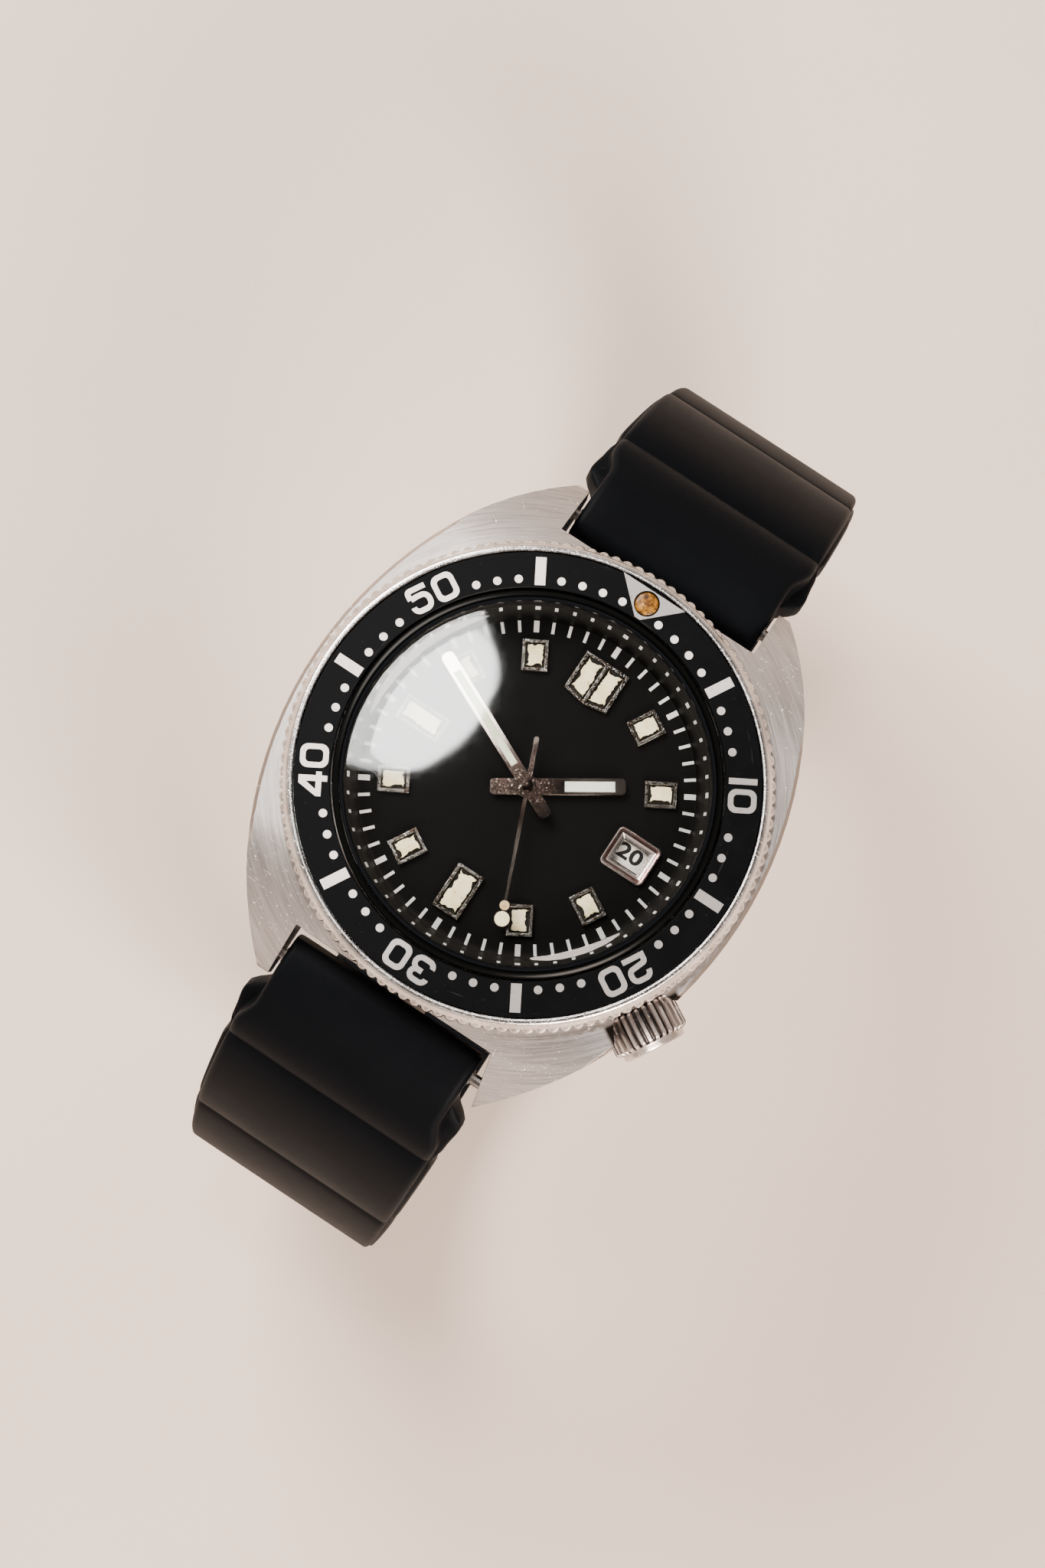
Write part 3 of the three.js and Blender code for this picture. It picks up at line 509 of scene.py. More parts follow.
def joined(name, pieces):
    """Makes one piece of several."""
    bpy.ops.object.select_all(action="DESELECT")
    for piece in pieces:
        piece.select_set(True)
    bpy.context.view_layer.objects.active = pieces[0]
    bpy.ops.object.join()
    pieces[0].name = name
    return pieces[0]


def turned(name, profile, segments=240):
    """Draws a closed [radius, z] profile out of a circle, one band at a time, round the hands' axis."""
    bpy.ops.object.select_all(action="DESELECT")
    radius, z = profile[0]
    bpy.ops.mesh.primitive_circle_add(vertices=segments, radius=radius, location=(0, 0, z))
    piece = bpy.context.active_object
    piece.name = name
    bpy.ops.object.transform_apply(location=True)
    bpy.ops.object.mode_set(mode="EDIT")
    bpy.ops.mesh.select_all(action="SELECT")
    for (r0, z0), (r1, z1) in zip(profile, profile[1:] + profile[:1]):
        bpy.ops.mesh.extrude_edges_move(TRANSFORM_OT_translate={"value": (0, 0, z1 - z0)})
        bpy.ops.transform.resize(value=(r1 / r0, r1 / r0, 1), center_override=(0, 0, z1))
    bpy.ops.object.mode_set(mode="OBJECT")
    return cleaned(piece)


def turned_solid(name, profile, segments=240):
    """The same for an open profile: its first and last rings are closed with flat caps."""
    bpy.ops.object.select_all(action="DESELECT")
    radius, z = profile[0]
    bpy.ops.mesh.primitive_circle_add(vertices=segments, radius=radius, location=(0, 0, z), fill_type="NGON")
    piece = bpy.context.active_object
    piece.name = name
    bpy.ops.object.transform_apply(location=True)
    bpy.ops.object.mode_set(mode="EDIT")
    bpy.ops.mesh.select_all(action="SELECT")
    for (r0, z0), (r1, z1) in zip(profile, profile[1:]):
        bpy.ops.mesh.extrude_region_move(TRANSFORM_OT_translate={"value": (0, 0, z1 - z0)})
        bpy.ops.transform.resize(value=(r1 / r0, r1 / r0, 1), center_override=(0, 0, z1))
    bpy.ops.object.mode_set(mode="OBJECT")
    return cleaned(piece)


def lofted(name, rings, loop=False):
    """Lays a grid over closed cross sections and stitches its edges; loop joins the last to the first."""
    rows, columns = len(rings), len(rings[0])
    rows += loop
    bpy.ops.object.select_all(action="DESELECT")
    bpy.ops.mesh.primitive_grid_add(x_subdivisions=columns, y_subdivisions=rows - 1, size=2)
    piece = bpy.context.active_object
    piece.name = name
    for vertex in piece.data.vertices:
        column = round((vertex.co.x + 1) / 2 * columns)
        row = round((vertex.co.y + 1) / 2 * (rows - 1))
        vertex.co = rings[row % len(rings)][column % columns]
    cleaned(piece)
    if not loop:
        bpy.ops.object.mode_set(mode="EDIT")
        bpy.ops.mesh.select_all(action="DESELECT")
        bpy.ops.mesh.select_mode(type="EDGE")
        bpy.ops.mesh.select_non_manifold()
        bpy.ops.mesh.fill_holes(sides=0)
        bpy.ops.mesh.select_mode(type="VERT")
        bpy.ops.mesh.select_all(action="SELECT")
        bpy.ops.mesh.normals_make_consistent(inside=False)
        bpy.ops.object.mode_set(mode="OBJECT")
    return piece


def flat_marks(name, outlines, z, thickness):
    """Fills closed outlines as thin plates. An outline that lies inside another is a hole in it."""
    drawing = bpy.data.curves.new(name, "CURVE")
    drawing.dimensions, drawing.fill_mode, drawing.extrude = "2D", "BOTH", thickness / 2
    for outline in outlines:
        spline = drawing.splines.new("POLY")
        spline.points.add(len(outline) - 1)
        spline.use_cyclic_u = True
        for point, (x, y) in zip(spline.points, outline):
            point.co = (x, y, 0, 1)
    piece = bpy.data.objects.new(name, drawing)
    bpy.context.scene.collection.objects.link(piece)
    only(piece)
    bpy.ops.object.convert(target="MESH")
    piece = bpy.context.active_object
    piece.location.z = z + thickness / 2
    bpy.ops.object.transform_apply(location=True)
    return cleaned(piece, 0.0002)


def refined(name, node, body, material, slot, bevel_mm=0.05, smooth=30, segments=2):
    """A copy of a CAD node with its doubles merged, its edges broken and its curves shaded round."""
    only(nodes[node])
    bpy.ops.object.duplicate()
    piece = bpy.context.active_object
    piece.name = name
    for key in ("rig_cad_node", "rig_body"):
        if key in piece:
            del piece[key]
    piece.parent = None
    bpy.ops.object.mode_set(mode="EDIT")
    bpy.ops.mesh.select_all(action="SELECT")
    bpy.ops.mesh.remove_doubles(threshold=0.001 * MM)
    bpy.ops.mesh.dissolve_limited(angle_limit=math.radians(0.4))
    bpy.ops.object.mode_set(mode="OBJECT")
    if bevel_mm:
        apply_modifier(piece, "BEVEL", width=bevel_mm * MM, segments=segments, limit_method="ANGLE",
                       angle_limit=math.radians(32), harden_normals=False)
    finished(piece, body, material, slot, node, smooth=smooth, matrix=Matrix.Identity(4))
    return apply_modifier(piece, "WEIGHTED_NORMAL", keep_sharp=True, weight=70)


def paint(node, material):
    nodes[node].data.materials.clear()
    nodes[node].data.materials.append(material)


def around(degrees, x, y):
    """A point of the plan drawn at 12 o'clock, turned clockwise."""
    a = math.radians(degrees)
    return x * math.cos(a) + y * math.sin(a), y * math.cos(a) - x * math.sin(a)


def turned_outline(degrees, points):
    return [around(degrees, x, y) for x, y in points]


def disc_outline(radius, x, y, corners=28):
    steps = [2 * math.pi * i / corners for i in range(corners)]
    return [(x + radius * math.cos(a), y + radius * math.sin(a)) for a in steps]


def oblong(half_width, low, high):
    return [(-half_width, low), (half_width, low), (half_width, high), (-half_width, high)]


def step_between(a, b, value):
    t = max(0.0, min(1.0, (value - a) / (b - a)))
    return t * t * (3 - 2 * t)


# ---------------------------------------------------------------- case
refined("case_body", "case_middle", "case", STEEL, "steel_brushed", 0.13, 28, 3)
refined("case_back_lid", "case_back", "case", BACK_STEEL, "steel_polished", 0.12, 28)

# ---------------------------------------------------------------- bezel
GRIPS, STEPS_PER_GRIP = 120, 8
rim_rings = []
for step in range(GRIPS * STEPS_PER_GRIP):
    angle = 2 * math.pi * step / (GRIPS * STEPS_PER_GRIP)
    lobe = abs(math.cos(angle * GRIPS / 2)) ** 0.7
    grip = 19.60 + 0.29 * lobe
    under = [(15.80, -2.46), (16.1, -2.5), (16.3, -2.5), (16.3, -2.05), (17.1, -2.05), (17.1, -2.5),
             (19.35, -2.5), (19.56, -2.40)]
    gripped = [(grip - 0.10, -2.28), (grip, -2.10), (grip, -0.88), (grip - 0.08, -0.72), (19.60, -0.58)]
    sloped = [(19.50, -0.42), (19.42, -0.26), (19.26, 0.02), (19.14, 0.11), (18.92, 0.12), (18.80, 0.09),
              (18.76, 0.01)]
    seat = [(18.75, -0.85), (17.0, -0.85), (15.80, -0.85), (15.76, -0.9), (15.76, -2.40)]
    section = under + gripped + sloped + seat
    rim_rings.append([(r * math.cos(angle), r * math.sin(angle), z) for r, z in section])
rim = lofted("bezel_rim", rim_rings, loop=True)
finished(rim, "bezel", RIM, "steel_brushed", "bezel_ring", smooth=38)

PIP_DISTANCE, WELL_RADIUS = 17.35, 1.05
pip_well = turned_solid("pip_well", [(WELL_RADIUS, -0.6), (WELL_RADIUS, 0.5)], 40)
pip_well.location = (0, PIP_DISTANCE, 0)
insert = turned("insert_face", [(15.80, -0.78), (18.68, -0.78), (18.70, -0.74), (18.70, -0.05), (18.66, 0.0),
                                (15.86, 0.0), (15.80, -0.05)])
apply_modifier(insert, "BOOLEAN", operation="DIFFERENCE", object=pip_well, solver="EXACT")
bpy.data.objects.remove(pip_well)
finished(insert, "bezel", INSERT, "insert_black", "bezel_insert")

pip = turned_solid("pip_paint", [(0.96, -0.62), (0.97, -0.14), (0.93, -0.06), (0.82, 0.0), (0.62, 0.05),
                                 (0.36, 0.085), (0.12, 0.10)], 48)
pip.location = (0, PIP_DISTANCE, 0)
finished(pip, "bezel", AMBER, "lume_aged", "bezel_pip")


# The numerals are squared and bold. Each is drawn one unit high about its own centre.
def corner(cx, cy, radius, start, sweep, steps=6):
    turn = [math.radians(start + sweep * i / steps) for i in range(steps + 1)]
    return [(cx + radius * math.cos(a), cy + radius * math.sin(a)) for a in turn]


def stroke(path, half):
    """The outline of a pen line of even width along an open path."""
    left, right = [], []
    for i, (x, y) in enumerate(path):
        x0, y0 = path[max(i - 1, 0)]
        x1, y1 = path[min(i + 1, len(path) - 1)]
        run = math.hypot(x1 - x0, y1 - y0)
        nx, ny = -(y1 - y0) / run * half, (x1 - x0) / run * half
        left.append((x + nx, y + ny))
        right.append((x - nx, y - ny))
    return left + right[::-1]


def rounded_frame(half_w, half_h, radius):
    corners = [(1, 1, 0), (-1, 1, 90), (-1, -1, 180), (1, -1, 270)]
    return [p for sx, sy, start in corners
            for p in corner(sx * (half_w - radius), sy * (half_h - radius), radius, start, 90)]


PEN = 0.098
TWO = ([(-0.32, 0.16), (-0.32, 0.20)] + corner(-0.12, 0.202, 0.2, 180, -90)
       + corner(0.12, 0.202, 0.2, 90, -90) + corner(0.10, 0.13, 0.22, 0, -50)
       + corner(-0.17, -0.24, 0.15, 130, 50) + [(-0.32, -0.40)])
TWO_FOOT = [(-0.418, -0.304), (-0.418, -0.5), (0.42, -0.5), (0.42, -0.304)]
THREE = ([(-0.32, 0.20)] + corner(-0.12, 0.202, 0.2, 180, -90) + corner(0.12, 0.222, 0.18, 90, -180)
         + [(-0.06, 0.042)])
THREE_LOW = ([(-0.06, 0.038)] + corner(0.12, -0.181, 0.22, 90, -180) + corner(-0.12, -0.201, 0.2, 270, -90)
             + [(-0.32, -0.20)])
FIVE = ([(0.36, 0.402), (-0.20, 0.402)] + corner(-0.22, 0.30, 0.102, 90, 90) + [(-0.322, 0.09)])
FIVE_LOW = ([(-0.30, 0.10), (-0.1, 0.125)] + corner(0.10, -0.095, 0.22, 90, -90)
            + corner(0.10, -0.182, 0.22, 0, -90) + corner(-0.12, -0.202, 0.2, 270, -90) + [(-0.32, -0.19)])
FOUR = [(0.02, 0.5), (0.30, 0.5), (0.30, -0.10), (0.43, -0.10), (0.43, -0.30), (0.30, -0.30), (0.30, -0.5),
        (0.09, -0.5), (0.09, -0.30), (-0.43, -0.30), (-0.43, -0.12)]
FOUR_EYE = [(0.09, 0.24), (-0.19, -0.10), (0.09, -0.10)]
DIGITS = {
    "0": [[rounded_frame(0.42, 0.5, 0.28), rounded_frame(0.225, 0.305, 0.14)]],
    "1": [[oblong(0.11, -0.5, 0.5)]],
    "2": [[stroke(TWO, PEN)], [TWO_FOOT]],
    "3": [[stroke(THREE, PEN)], [stroke(THREE_LOW, PEN)]],
    "4": [[FOUR, FOUR_EYE]],
    "5": [[stroke(FIVE, PEN)], [stroke(FIVE_LOW, PEN)]],
}


def numeral_layers(text, degrees, height, distance):
    """Layers of outlines for a number whose top points away from the centre."""
    layers = [[], []]
    widths = [0.40 if c == "1" else 0.98 for c in text]
    x = -sum(widths) / 2
    for character, width in zip(text, widths):
        for layer, outlines in zip(layers, DIGITS[character]):
            for outline in outlines:
                points = [((px + x + width / 2) * height, py * height + distance) for px, py in outline]
                layer.append(turned_outline(degrees, points))
        x += width
    return layers


base_layer, top_layer = [], []
for minute in range(60):
    tens = minute % 10
    if tens == 5:
        base_layer.append(turned_outline(minute * 6, oblong(0.43, 16.0, 18.3)))
    elif tens not in (9, 0, 1) or minute in (1, 59):
        base_layer.append([around(minute * 6, x, y) for x, y in disc_outline(0.34, 0, 16.5, 20)])
for minute in (10, 20, 30, 40, 50):
    low, high = numeral_layers(str(minute), minute * 6, 2.3, 17.12)
    base_layer += low
    top_layer += high
marks = joined("insert_marks", [flat_marks("marks_low", base_layer, -0.005, 0.03),
                                flat_marks("marks_high", top_layer, -0.005, 0.034)])
finished(marks, "bezel", SILVER, "steel_polished")
arrow = [(-2.95, 18.5), (-0.25, 15.93), (0.25, 15.93), (2.95, 18.5)]
arrow_hole = disc_outline(WELL_RADIUS, 0, PIP_DISTANCE, 40)
arrow_plate = flat_marks("insert_arrow", [arrow, arrow_hole], -0.005, 0.03)
finished(arrow_plate, "bezel", ARROW_SILVER, "steel_polished")

# ---------------------------------------------------------------- crystal and the rings round it
glass = [(0.2, -0.9), (14.66, -0.9), (14.70, -0.86), (14.70, 0.30), (14.66, 0.36), (14.10, 0.78),
         (13.60, 1.01), (13.10, 1.09), (12.80, 1.10), (7.0, 1.101), (0.2, 1.102)]
crystal = turned_solid("crystal_glass", glass)
finished(crystal, "case", CRYSTAL, "crystal_glass", "crystal", smooth=20)
seal = turned("crystal_seal", [(14.74, -0.88), (15.06, -0.88), (15.06, 0.04), (15.0, 0.11), (14.80, 0.11),
                               (14.74, 0.04)])
finished(seal, "case", SEAL, "rubber_black", "crystal_gasket")
# The steel retaining ring carries black lacquer as painted shade.
retainer = turned("crystal_retainer", [(15.10, -0.9), (15.64, -0.9), (15.64, -0.16), (15.58, -0.08),
                                       (15.26, 0.10), (15.14, 0.11), (15.10, 0.06)])
finished(retainer, "case", RETAINER_PAINTED_DARK, "steel_brushed", "crystal_retaining_ring")
chapter = turned("chapter_cone", [(13.76, -3.16), (14.93, -3.16), (14.93, -0.96), (14.57, -0.96),
                                  (14.53, -1.0)])
finished(chapter, "case", CHAPTER, "dial_black", "chapter_ring")


def cone_marks(name):
    """Sixty marks painted on the cone, each a small plate that lies against its slope."""
    plates = []
    for minute in range(60):
        half = 0.22 if minute % 5 == 0 else 0.14
        edge, lift = [], 0.02
        for r, z in ((14.33, -1.62), (14.51, -1.12)):
            for x in (-half, half):
                edge.append((*around(minute * 6, x, r - lift), z + lift * 0.5))
        bpy.ops.object.select_all(action="DESELECT")
        bpy.ops.mesh.primitive_plane_add(size=2)
        plates.append(bpy.context.active_object)
        for vertex, place in zip(plates[-1].data.vertices, edge):
            vertex.co = place
    piece = joined(name, plates)
    return apply_modifier(cleaned(piece, 0.0002), "SOLIDIFY", thickness=0.015, offset=0)


finished(cone_marks("chapter_marks"), "case", PRINT, "date_white")

# ---------------------------------------------------------------- dial
DIAL_TOP = -3.2
paint("dial", DIAL)
ticks = []
for minute in range(60):
    half = 0.225 if minute % 5 == 0 else 0.13
    ticks.append(turned_outline(minute * 6, oblong(half, 12.72, 13.68)))
finished(flat_marks("minute_ticks", ticks, DIAL_TOP + 0.001, 0.02), "case", PRINT, "date_white")


def ragged_fill(name, loops, bottom, top, ragged=0.125):
    """Paint poured in a tray: its edge has crumbled unevenly and is rounded over."""
    outlines = []
    for loop in loops:
        edge = []
        for (x0, y0), (x1, y1) in zip(loop, loop[1:] + loop[:1]):
            run = math.hypot(x1 - x0, y1 - y0)
            steps = max(2, round(run / 0.13))
            nx, ny = -(y1 - y0) / run, (x1 - x0) / run
            bite = 0.0
            for i in range(steps):
                t = i / steps
                bite = max(0.45, min(2.3, bite + random.uniform(-0.9, 0.9)))
                near_corner = min(t, 1 - t) < 0.10
                depth = ragged * (1.0 if near_corner else bite)
                edge.append((x0 + (x1 - x0) * t + nx * depth, y0 + (y1 - y0) * t + ny * depth))
        outlines.append(edge)
    piece = flat_marks(name, outlines, bottom, top - bottom)
    return apply_modifier(piece, "BEVEL", width=0.045, segments=2, limit_method="ANGLE",
                          angle_limit=math.radians(50))


TRAY_FLOOR, TRAY_TOP = -3.02, -2.82
for hour in (1, 2, 4, 5, 6, 7, 8, 9, 10, 11, 12):
    refined(f"hour_frame_{hour}", f"marker_{hour}", "case", FRAMES, "steel_aged", 0.035, 30)
    if hour == 12:
        side = [(0.22, 8.60), (1.66, 8.92), (1.66, 11.68), (0.22, 11.68)]
        loops = [side, [(-x, y) for x, y in side][::-1]]
    else:
        centre, length, width = {6: (10.12, 4.05, 2.4), 9: (10.15, 4.0, 2.2)}.get(hour, (10.8, 2.6, 2.15))
        w, l = width / 2 - 0.36, length / 2 - 0.36
        loops = [turned_outline(hour * 30, oblong(w, centre - l, centre + l))]
    fill = ragged_fill(f"hour_paint_{hour}", loops, TRAY_FLOOR + 0.01, TRAY_TOP + 0.03)
    finished(fill, "case", CREAM, "lume_aged")

# ---------------------------------------------------------------- date
WINDOW_X, WINDOW_Y = 10.05, -0.1
# Half width, half height, corner radius and height of each edge, from the outer wall over to the window.
FRAME_EDGES = [(1.99, 1.74, 0.44, -3.19), (1.99, 1.74, 0.44, -2.90), (1.92, 1.67, 0.40, -2.84),
               (1.61, 1.33, 0.05, -2.84), (1.57, 1.29, 0.04, -2.86), (1.19, 0.965, 0.03, -3.16),
               (1.17, 0.945, 0.03, -3.19)]
edges = [[(x + WINDOW_X, y + WINDOW_Y, z) for x, y in rounded_frame(w, h, r)] for w, h, r, z in FRAME_EDGES]
date_surround = lofted("date_surround", [list(station) for station in zip(*edges)], loop=True)
finished(date_surround, "case", DATE_FRAME, "steel_polished", "date_frame", smooth=25)
date_ring = turned("date_ring", [(8.70, -3.94), (12.90, -3.94), (12.90, -3.74), (12.86, -3.72), (8.74, -3.72),
                                 (8.70, -3.74)])
finished(date_ring, "date", DATE_WHITE, "date_white", "date_disc")
DAYS, SHOWN = 31, 20
days = []
for day in range(1, DAYS + 1):
    text = bpy.data.curves.new(f"day_{day}", "FONT")
    text.body, text.size, text.resolution_u = str(day), 1.76, 3
    text.align_x, text.align_y, text.offset = "CENTER", "CENTER", 0.05
    label = bpy.data.objects.new(f"day_{day}", text)
    bpy.context.scene.collection.objects.link(label)
    only(label)
    bpy.ops.object.convert(target="MESH")
    label = bpy.context.active_object
    turn = math.radians((day - SHOWN) * 360 / DAYS)
    spot = Matrix.Rotation(turn, 4, "Z") @ Matrix.Translation((9.92, 0.04, -3.705))
    label.matrix_world = spot @ Matrix.Diagonal((1.25, 1.0, 1.0, 1.0))
    bpy.ops.object.transform_apply(location=True, rotation=True, scale=True)
    days.append(label)
finished(joined("date_numbers", days), "date", DATE_BLACK, "dial_black")

# ---------------------------------------------------------------- hands
HOUR, MINUTE, SECONDS = 56.8, 295.1, 157.5
refined("hour_pointer", "hour_hand", "hour", HANDS, "steel_aged", 0.05, 30)
refined("minute_pointer", "minute_hand", "minute", HANDS, "steel_aged", 0.045, 30)
refined("seconds_pointer", "seconds_hand", "seconds", HANDS, "steel_aged", 0.03, 30)


def slot_fill(name, degrees, half, low, high, bottom, top, body, material):
    """Luminous paint in the slot of a hand."""
    piece = flat_marks(name, [turned_outline(degrees, oblong(half, low, high))], bottom, top - bottom)
    apply_modifier(piece, "BEVEL", width=0.03, segments=2, limit_method="ANGLE", angle_limit=math.radians(50))
    return finished(piece, body, material, "lume_aged")


slot_fill("hour_paint", HOUR, 0.415, 3.02, 7.08, -2.74, -2.585, "hour", WHITE_GREEN)
slot_fill("minute_paint", MINUTE, 0.295, 2.02, 10.88, -2.22, -2.065, "minute", PALE_GREEN)
for label, radius, distance, material in (("small", 0.40, 9.85, TAN), ("large", 0.62, 10.95, CREAM)):
    dome = [(radius, -1.63), (radius * 0.96, -1.59), (radius * 0.8, -1.55), (radius * 0.4, -1.53)]
    dot = turned_solid(f"seconds_paint_{label}", dome, 32)
    x, y = around(SECONDS, 0, distance)
    dot.location = (x, y, 0)
    finished(dot, "seconds", material, "lume_aged")

# ---------------------------------------------------------------- crown
RIBS, STEPS_PER_RIB = 30, 10
crown_axis = Vector((math.sin(math.radians(CROWN_ANGLE)), math.cos(math.radians(CROWN_ANGLE)), 0))
crown_side = Vector((0, 0, 1)).cross(crown_axis)
along_crown = Matrix((crown_side, (0, 0, 1), crown_axis)).transposed().to_4x4()
along_crown.translation = (0, 0, CROWN_Z)
crown_rings = []
for step in range(RIBS * STEPS_PER_RIB):
    angle = 2 * math.pi * step / (RIBS * STEPS_PER_RIB)
    rib = step_between(0.42, 0.74, abs(math.cos(angle * RIBS / 2)))
    grip = 2.86 + 0.33 * rib
    bore = [(0.62, 22.2), (0.62, 21.9), (1.9, 21.9), (1.9, 19.82), (2.0, 19.76), (2.78, 19.76)]
    gripped = [(grip - 0.16, 19.86), (grip, 20.05), (grip, 22.55), (grip - 0.14, 22.74)]
    face = [(2.82, 22.85), (2.70, 22.88), (2.66, 22.94), (2.64, 23.24), (2.54, 23.38), (2.3, 23.44),
            (1.2, 23.47), (0.05, 23.47), (0.05, 22.3), (0.4, 22.3)]
    cos, sin = math.cos(angle), math.sin(angle)
    crown_rings.append([along_crown @ Vector((r * cos, r * sin, s)) for r, s in bore + gripped + face])
crown = lofted("crown_fluted", crown_rings, loop=True)
finished(crown, "crown", CROWN_STEEL, "steel_brushed", "crown", smooth=40)

# ---------------------------------------------------------------- strap
# Points of each half's middle line, from the case to its end: along the watch, and up.
SHORT_WAY = [(20.0, -6.9), (21.9, -7.3), (24.4, -8.1), (28.4, -10.4), (32.4, -14.4), (37.2, -21.8),
             (40.8, -31.5), (42.4, -42), (41.2, -51), (37, -58.6), (31, -63.4), (24, -65.2), (14, -65.2),
             (3.1, -65.2)]
LONG_WAY = [(-20.0, -6.9), (-21.9, -7.3), (-24.2, -8.5), (-27.6, -11.2), (-31.0, -16.0), (-34.8, -24),
            (-37.4, -33), (-39.0, -44), (-37.6, -53), (-32.4, -60.5), (-24.6, -64.4), (-16, -65.3),
            (-9, -65.5), (-2, -66.7), (5, -68.1), (12, -68.4), (24, -68.4), (31, -66.8), (36, -63.6)]
# The creases lie at these distances from the case, and each pad between two of them swells by a ridge.
CREASES = [0, 10.5, 24.5, 38.5]
RIDGES = [1.35, 0.95, 0.7]
# How far the sides swell or nip in, at what distance from the case, and over what length.
NUBS = [(0.22, 6.6, 1.3), (-0.28, 10.7, 0.8), (-0.16, 24.7, 0.9)]
HALF_THICK, HALF_PAD = 1.15, 9.0
SLOT_HALF_WIDTH, SLOT_SPACING, TONGUE_X = 1.45, 7.5, 3.5


def smooth_way(points, step=0.5):
    """Stations along a rounded line through the points: place, direction and distance run."""
    dense = []
    for i in range(len(points) - 1):
        p0, p1 = points[max(i - 1, 0)], points[i]
        p2, p3 = points[i + 1], points[min(i + 2, len(points) - 1)]
        for k in range(40):
            t = k / 40
            place = []
            for a, b, c, d in zip(p0, p1, p2, p3):
                v0, v1 = (c - a) / 2, (d - b) / 2
                bend = (2 * b - 2 * c + v0 + v1) * t ** 3 + (3 * c - 3 * b - 2 * v0 - v1) * t * t
                place.append(bend + v0 * t + b)
            dense.append(Vector(place))
    dense.append(Vector(points[-1]))
    run = [0.0]
    for a, b in zip(dense, dense[1:]):
        run.append(run[-1] + (b - a).length)
    count = round(run[-1] / step)
    stations, at = [], 0
    for i in range(count + 1):
        s = run[-1] * i / count
        while at < len(run) - 2 and run[at + 1] < s:
            at += 1
        t = (s - run[at]) / (run[at + 1] - run[at])
        stations.append((dense[at].lerp(dense[at + 1], t), (dense[at + 1] - dense[at]).normalized(), s))
    return stations


def ridge_height(s):
    """How far the top swells between two creases, at a distance from the case."""
    for height, low, high in zip(RIDGES, CREASES, CREASES[1:]):
        if s < high:
            t = (s - low) / (high - low)
            return height * max(0.0, math.sin(math.pi * t)) ** 0.42
    return 0.0


def strap_section(s, length, round_end):
    """One closed cross section, as (sideways, outward) points: a raised pad on a wider flat body."""
    taper_end = 0.75 * length
    body = HALF_PAD + 1.42 * step_between(4.2, 6.2, s) - 1.3 * step_between(6.5, taper_end, s)
    body += sum(size * math.exp(-((s - at) / reach) ** 2) for size, at, reach in NUBS)
    pad = min(body - 0.02, HALF_PAD + 0.9 * step_between(5.6, 8.6, s) - 1.0 * step_between(9, taper_end, s))
    if round_end:
        left = (length - s) / 6.0
        if left < 1:
            scale = math.sqrt(max(0.03, 1 - (1 - left) ** 2))
            body, pad = body * scale, pad * scale
    rise = ridge_height(s)
    top = HALF_THICK + rise
    low = -HALF_THICK - max(0.0, 1 - abs(s - 2) / 4) * 0.75
    soften = min(0.7, 0.35 + rise * 0.4)
    shelf = HALF_THICK * 0.62
    arc = [(pad - soften * (1 - math.sin(a)), top - soften * (1 - math.cos(a)) * 0.9)
           for a in (math.pi / 2 * k / 6 for k in range(7))]
    flank = [(pad, (arc[-1][1] + shelf) / 2), (pad + (body - pad) * 0.18, shelf + 0.05),
             (pad + (body - pad) * 0.7, shelf - 0.02), (body - 0.06, shelf - 0.18), (body, shelf - 0.45)]
    foot = [(body, low + 0.5), (body - 0.10, low + 0.2), (body - 0.32, low + 0.03), (body - 0.7, low)]
    half = arc + flank + foot
    across = [0.82, 0.6, 0.36, 0.12]
    top_row = [(half[0][0] * k, top - 0.02 * k * k + 0.02) for k in reversed(across)]
    low_row = [((body - 0.7) * k, low) for k in across]
    right = top_row + half + low_row
    return right + [(-x, n) for x, n in reversed(right)]


def strap_piece(name, way, outward, round_end, cutters):
    """One half of the strap: its section is carried along its way, and the slots are cut."""
    stations = smooth_way(way)
    length = stations[-1][2]
    rings = []
    for place, along, s in stations:
        normal = Vector((-along.y, along.x)) * outward
        ring = []
        for x, n in strap_section(s, length, round_end):
            point = place + normal * n
            ring.append((x, point.x, point.y))
        rings.append(ring)
    piece = lofted(name, rings)
    apply_modifier(piece, "BEVEL", width=0.22, segments=3, limit_method="ANGLE", angle_limit=math.radians(60))
    for cutter in cutters(stations):
        apply_modifier(piece, "BOOLEAN", operation="DIFFERENCE", object=cutter, solver="EXACT")
        bpy.data.objects.remove(cutter)
    return piece


def slot_cutter(name, half_wide, half_long, turn, place):
    """A slot with round ends, for the tongue of the buckle."""
    bpy.ops.object.select_all(action="DESELECT")
    bpy.ops.mesh.primitive_cube_add(size=2, location=place, rotation=(turn, 0, 0),
                                    scale=(half_wide, half_long, 3.2))
    piece = bpy.context.active_object
    piece.name = name
    bpy.ops.object.transform_apply(location=False, rotation=False, scale=True)
    bpy.ops.object.mode_set(mode="EDIT")
    bpy.ops.mesh.select_all(action="DESELECT")
    bpy.ops.object.mode_set(mode="OBJECT")
    for edge in piece.data.edges:
        a, b = (piece.data.vertices[i].co for i in edge.vertices)
        edge.select = abs(a.z - b.z) > 1
    bpy.ops.object.mode_set(mode="EDIT")
    bpy.ops.mesh.bevel(offset=half_wide * 0.9, segments=6, affect="EDGES")
    bpy.ops.object.mode_set(mode="OBJECT")
    return piece


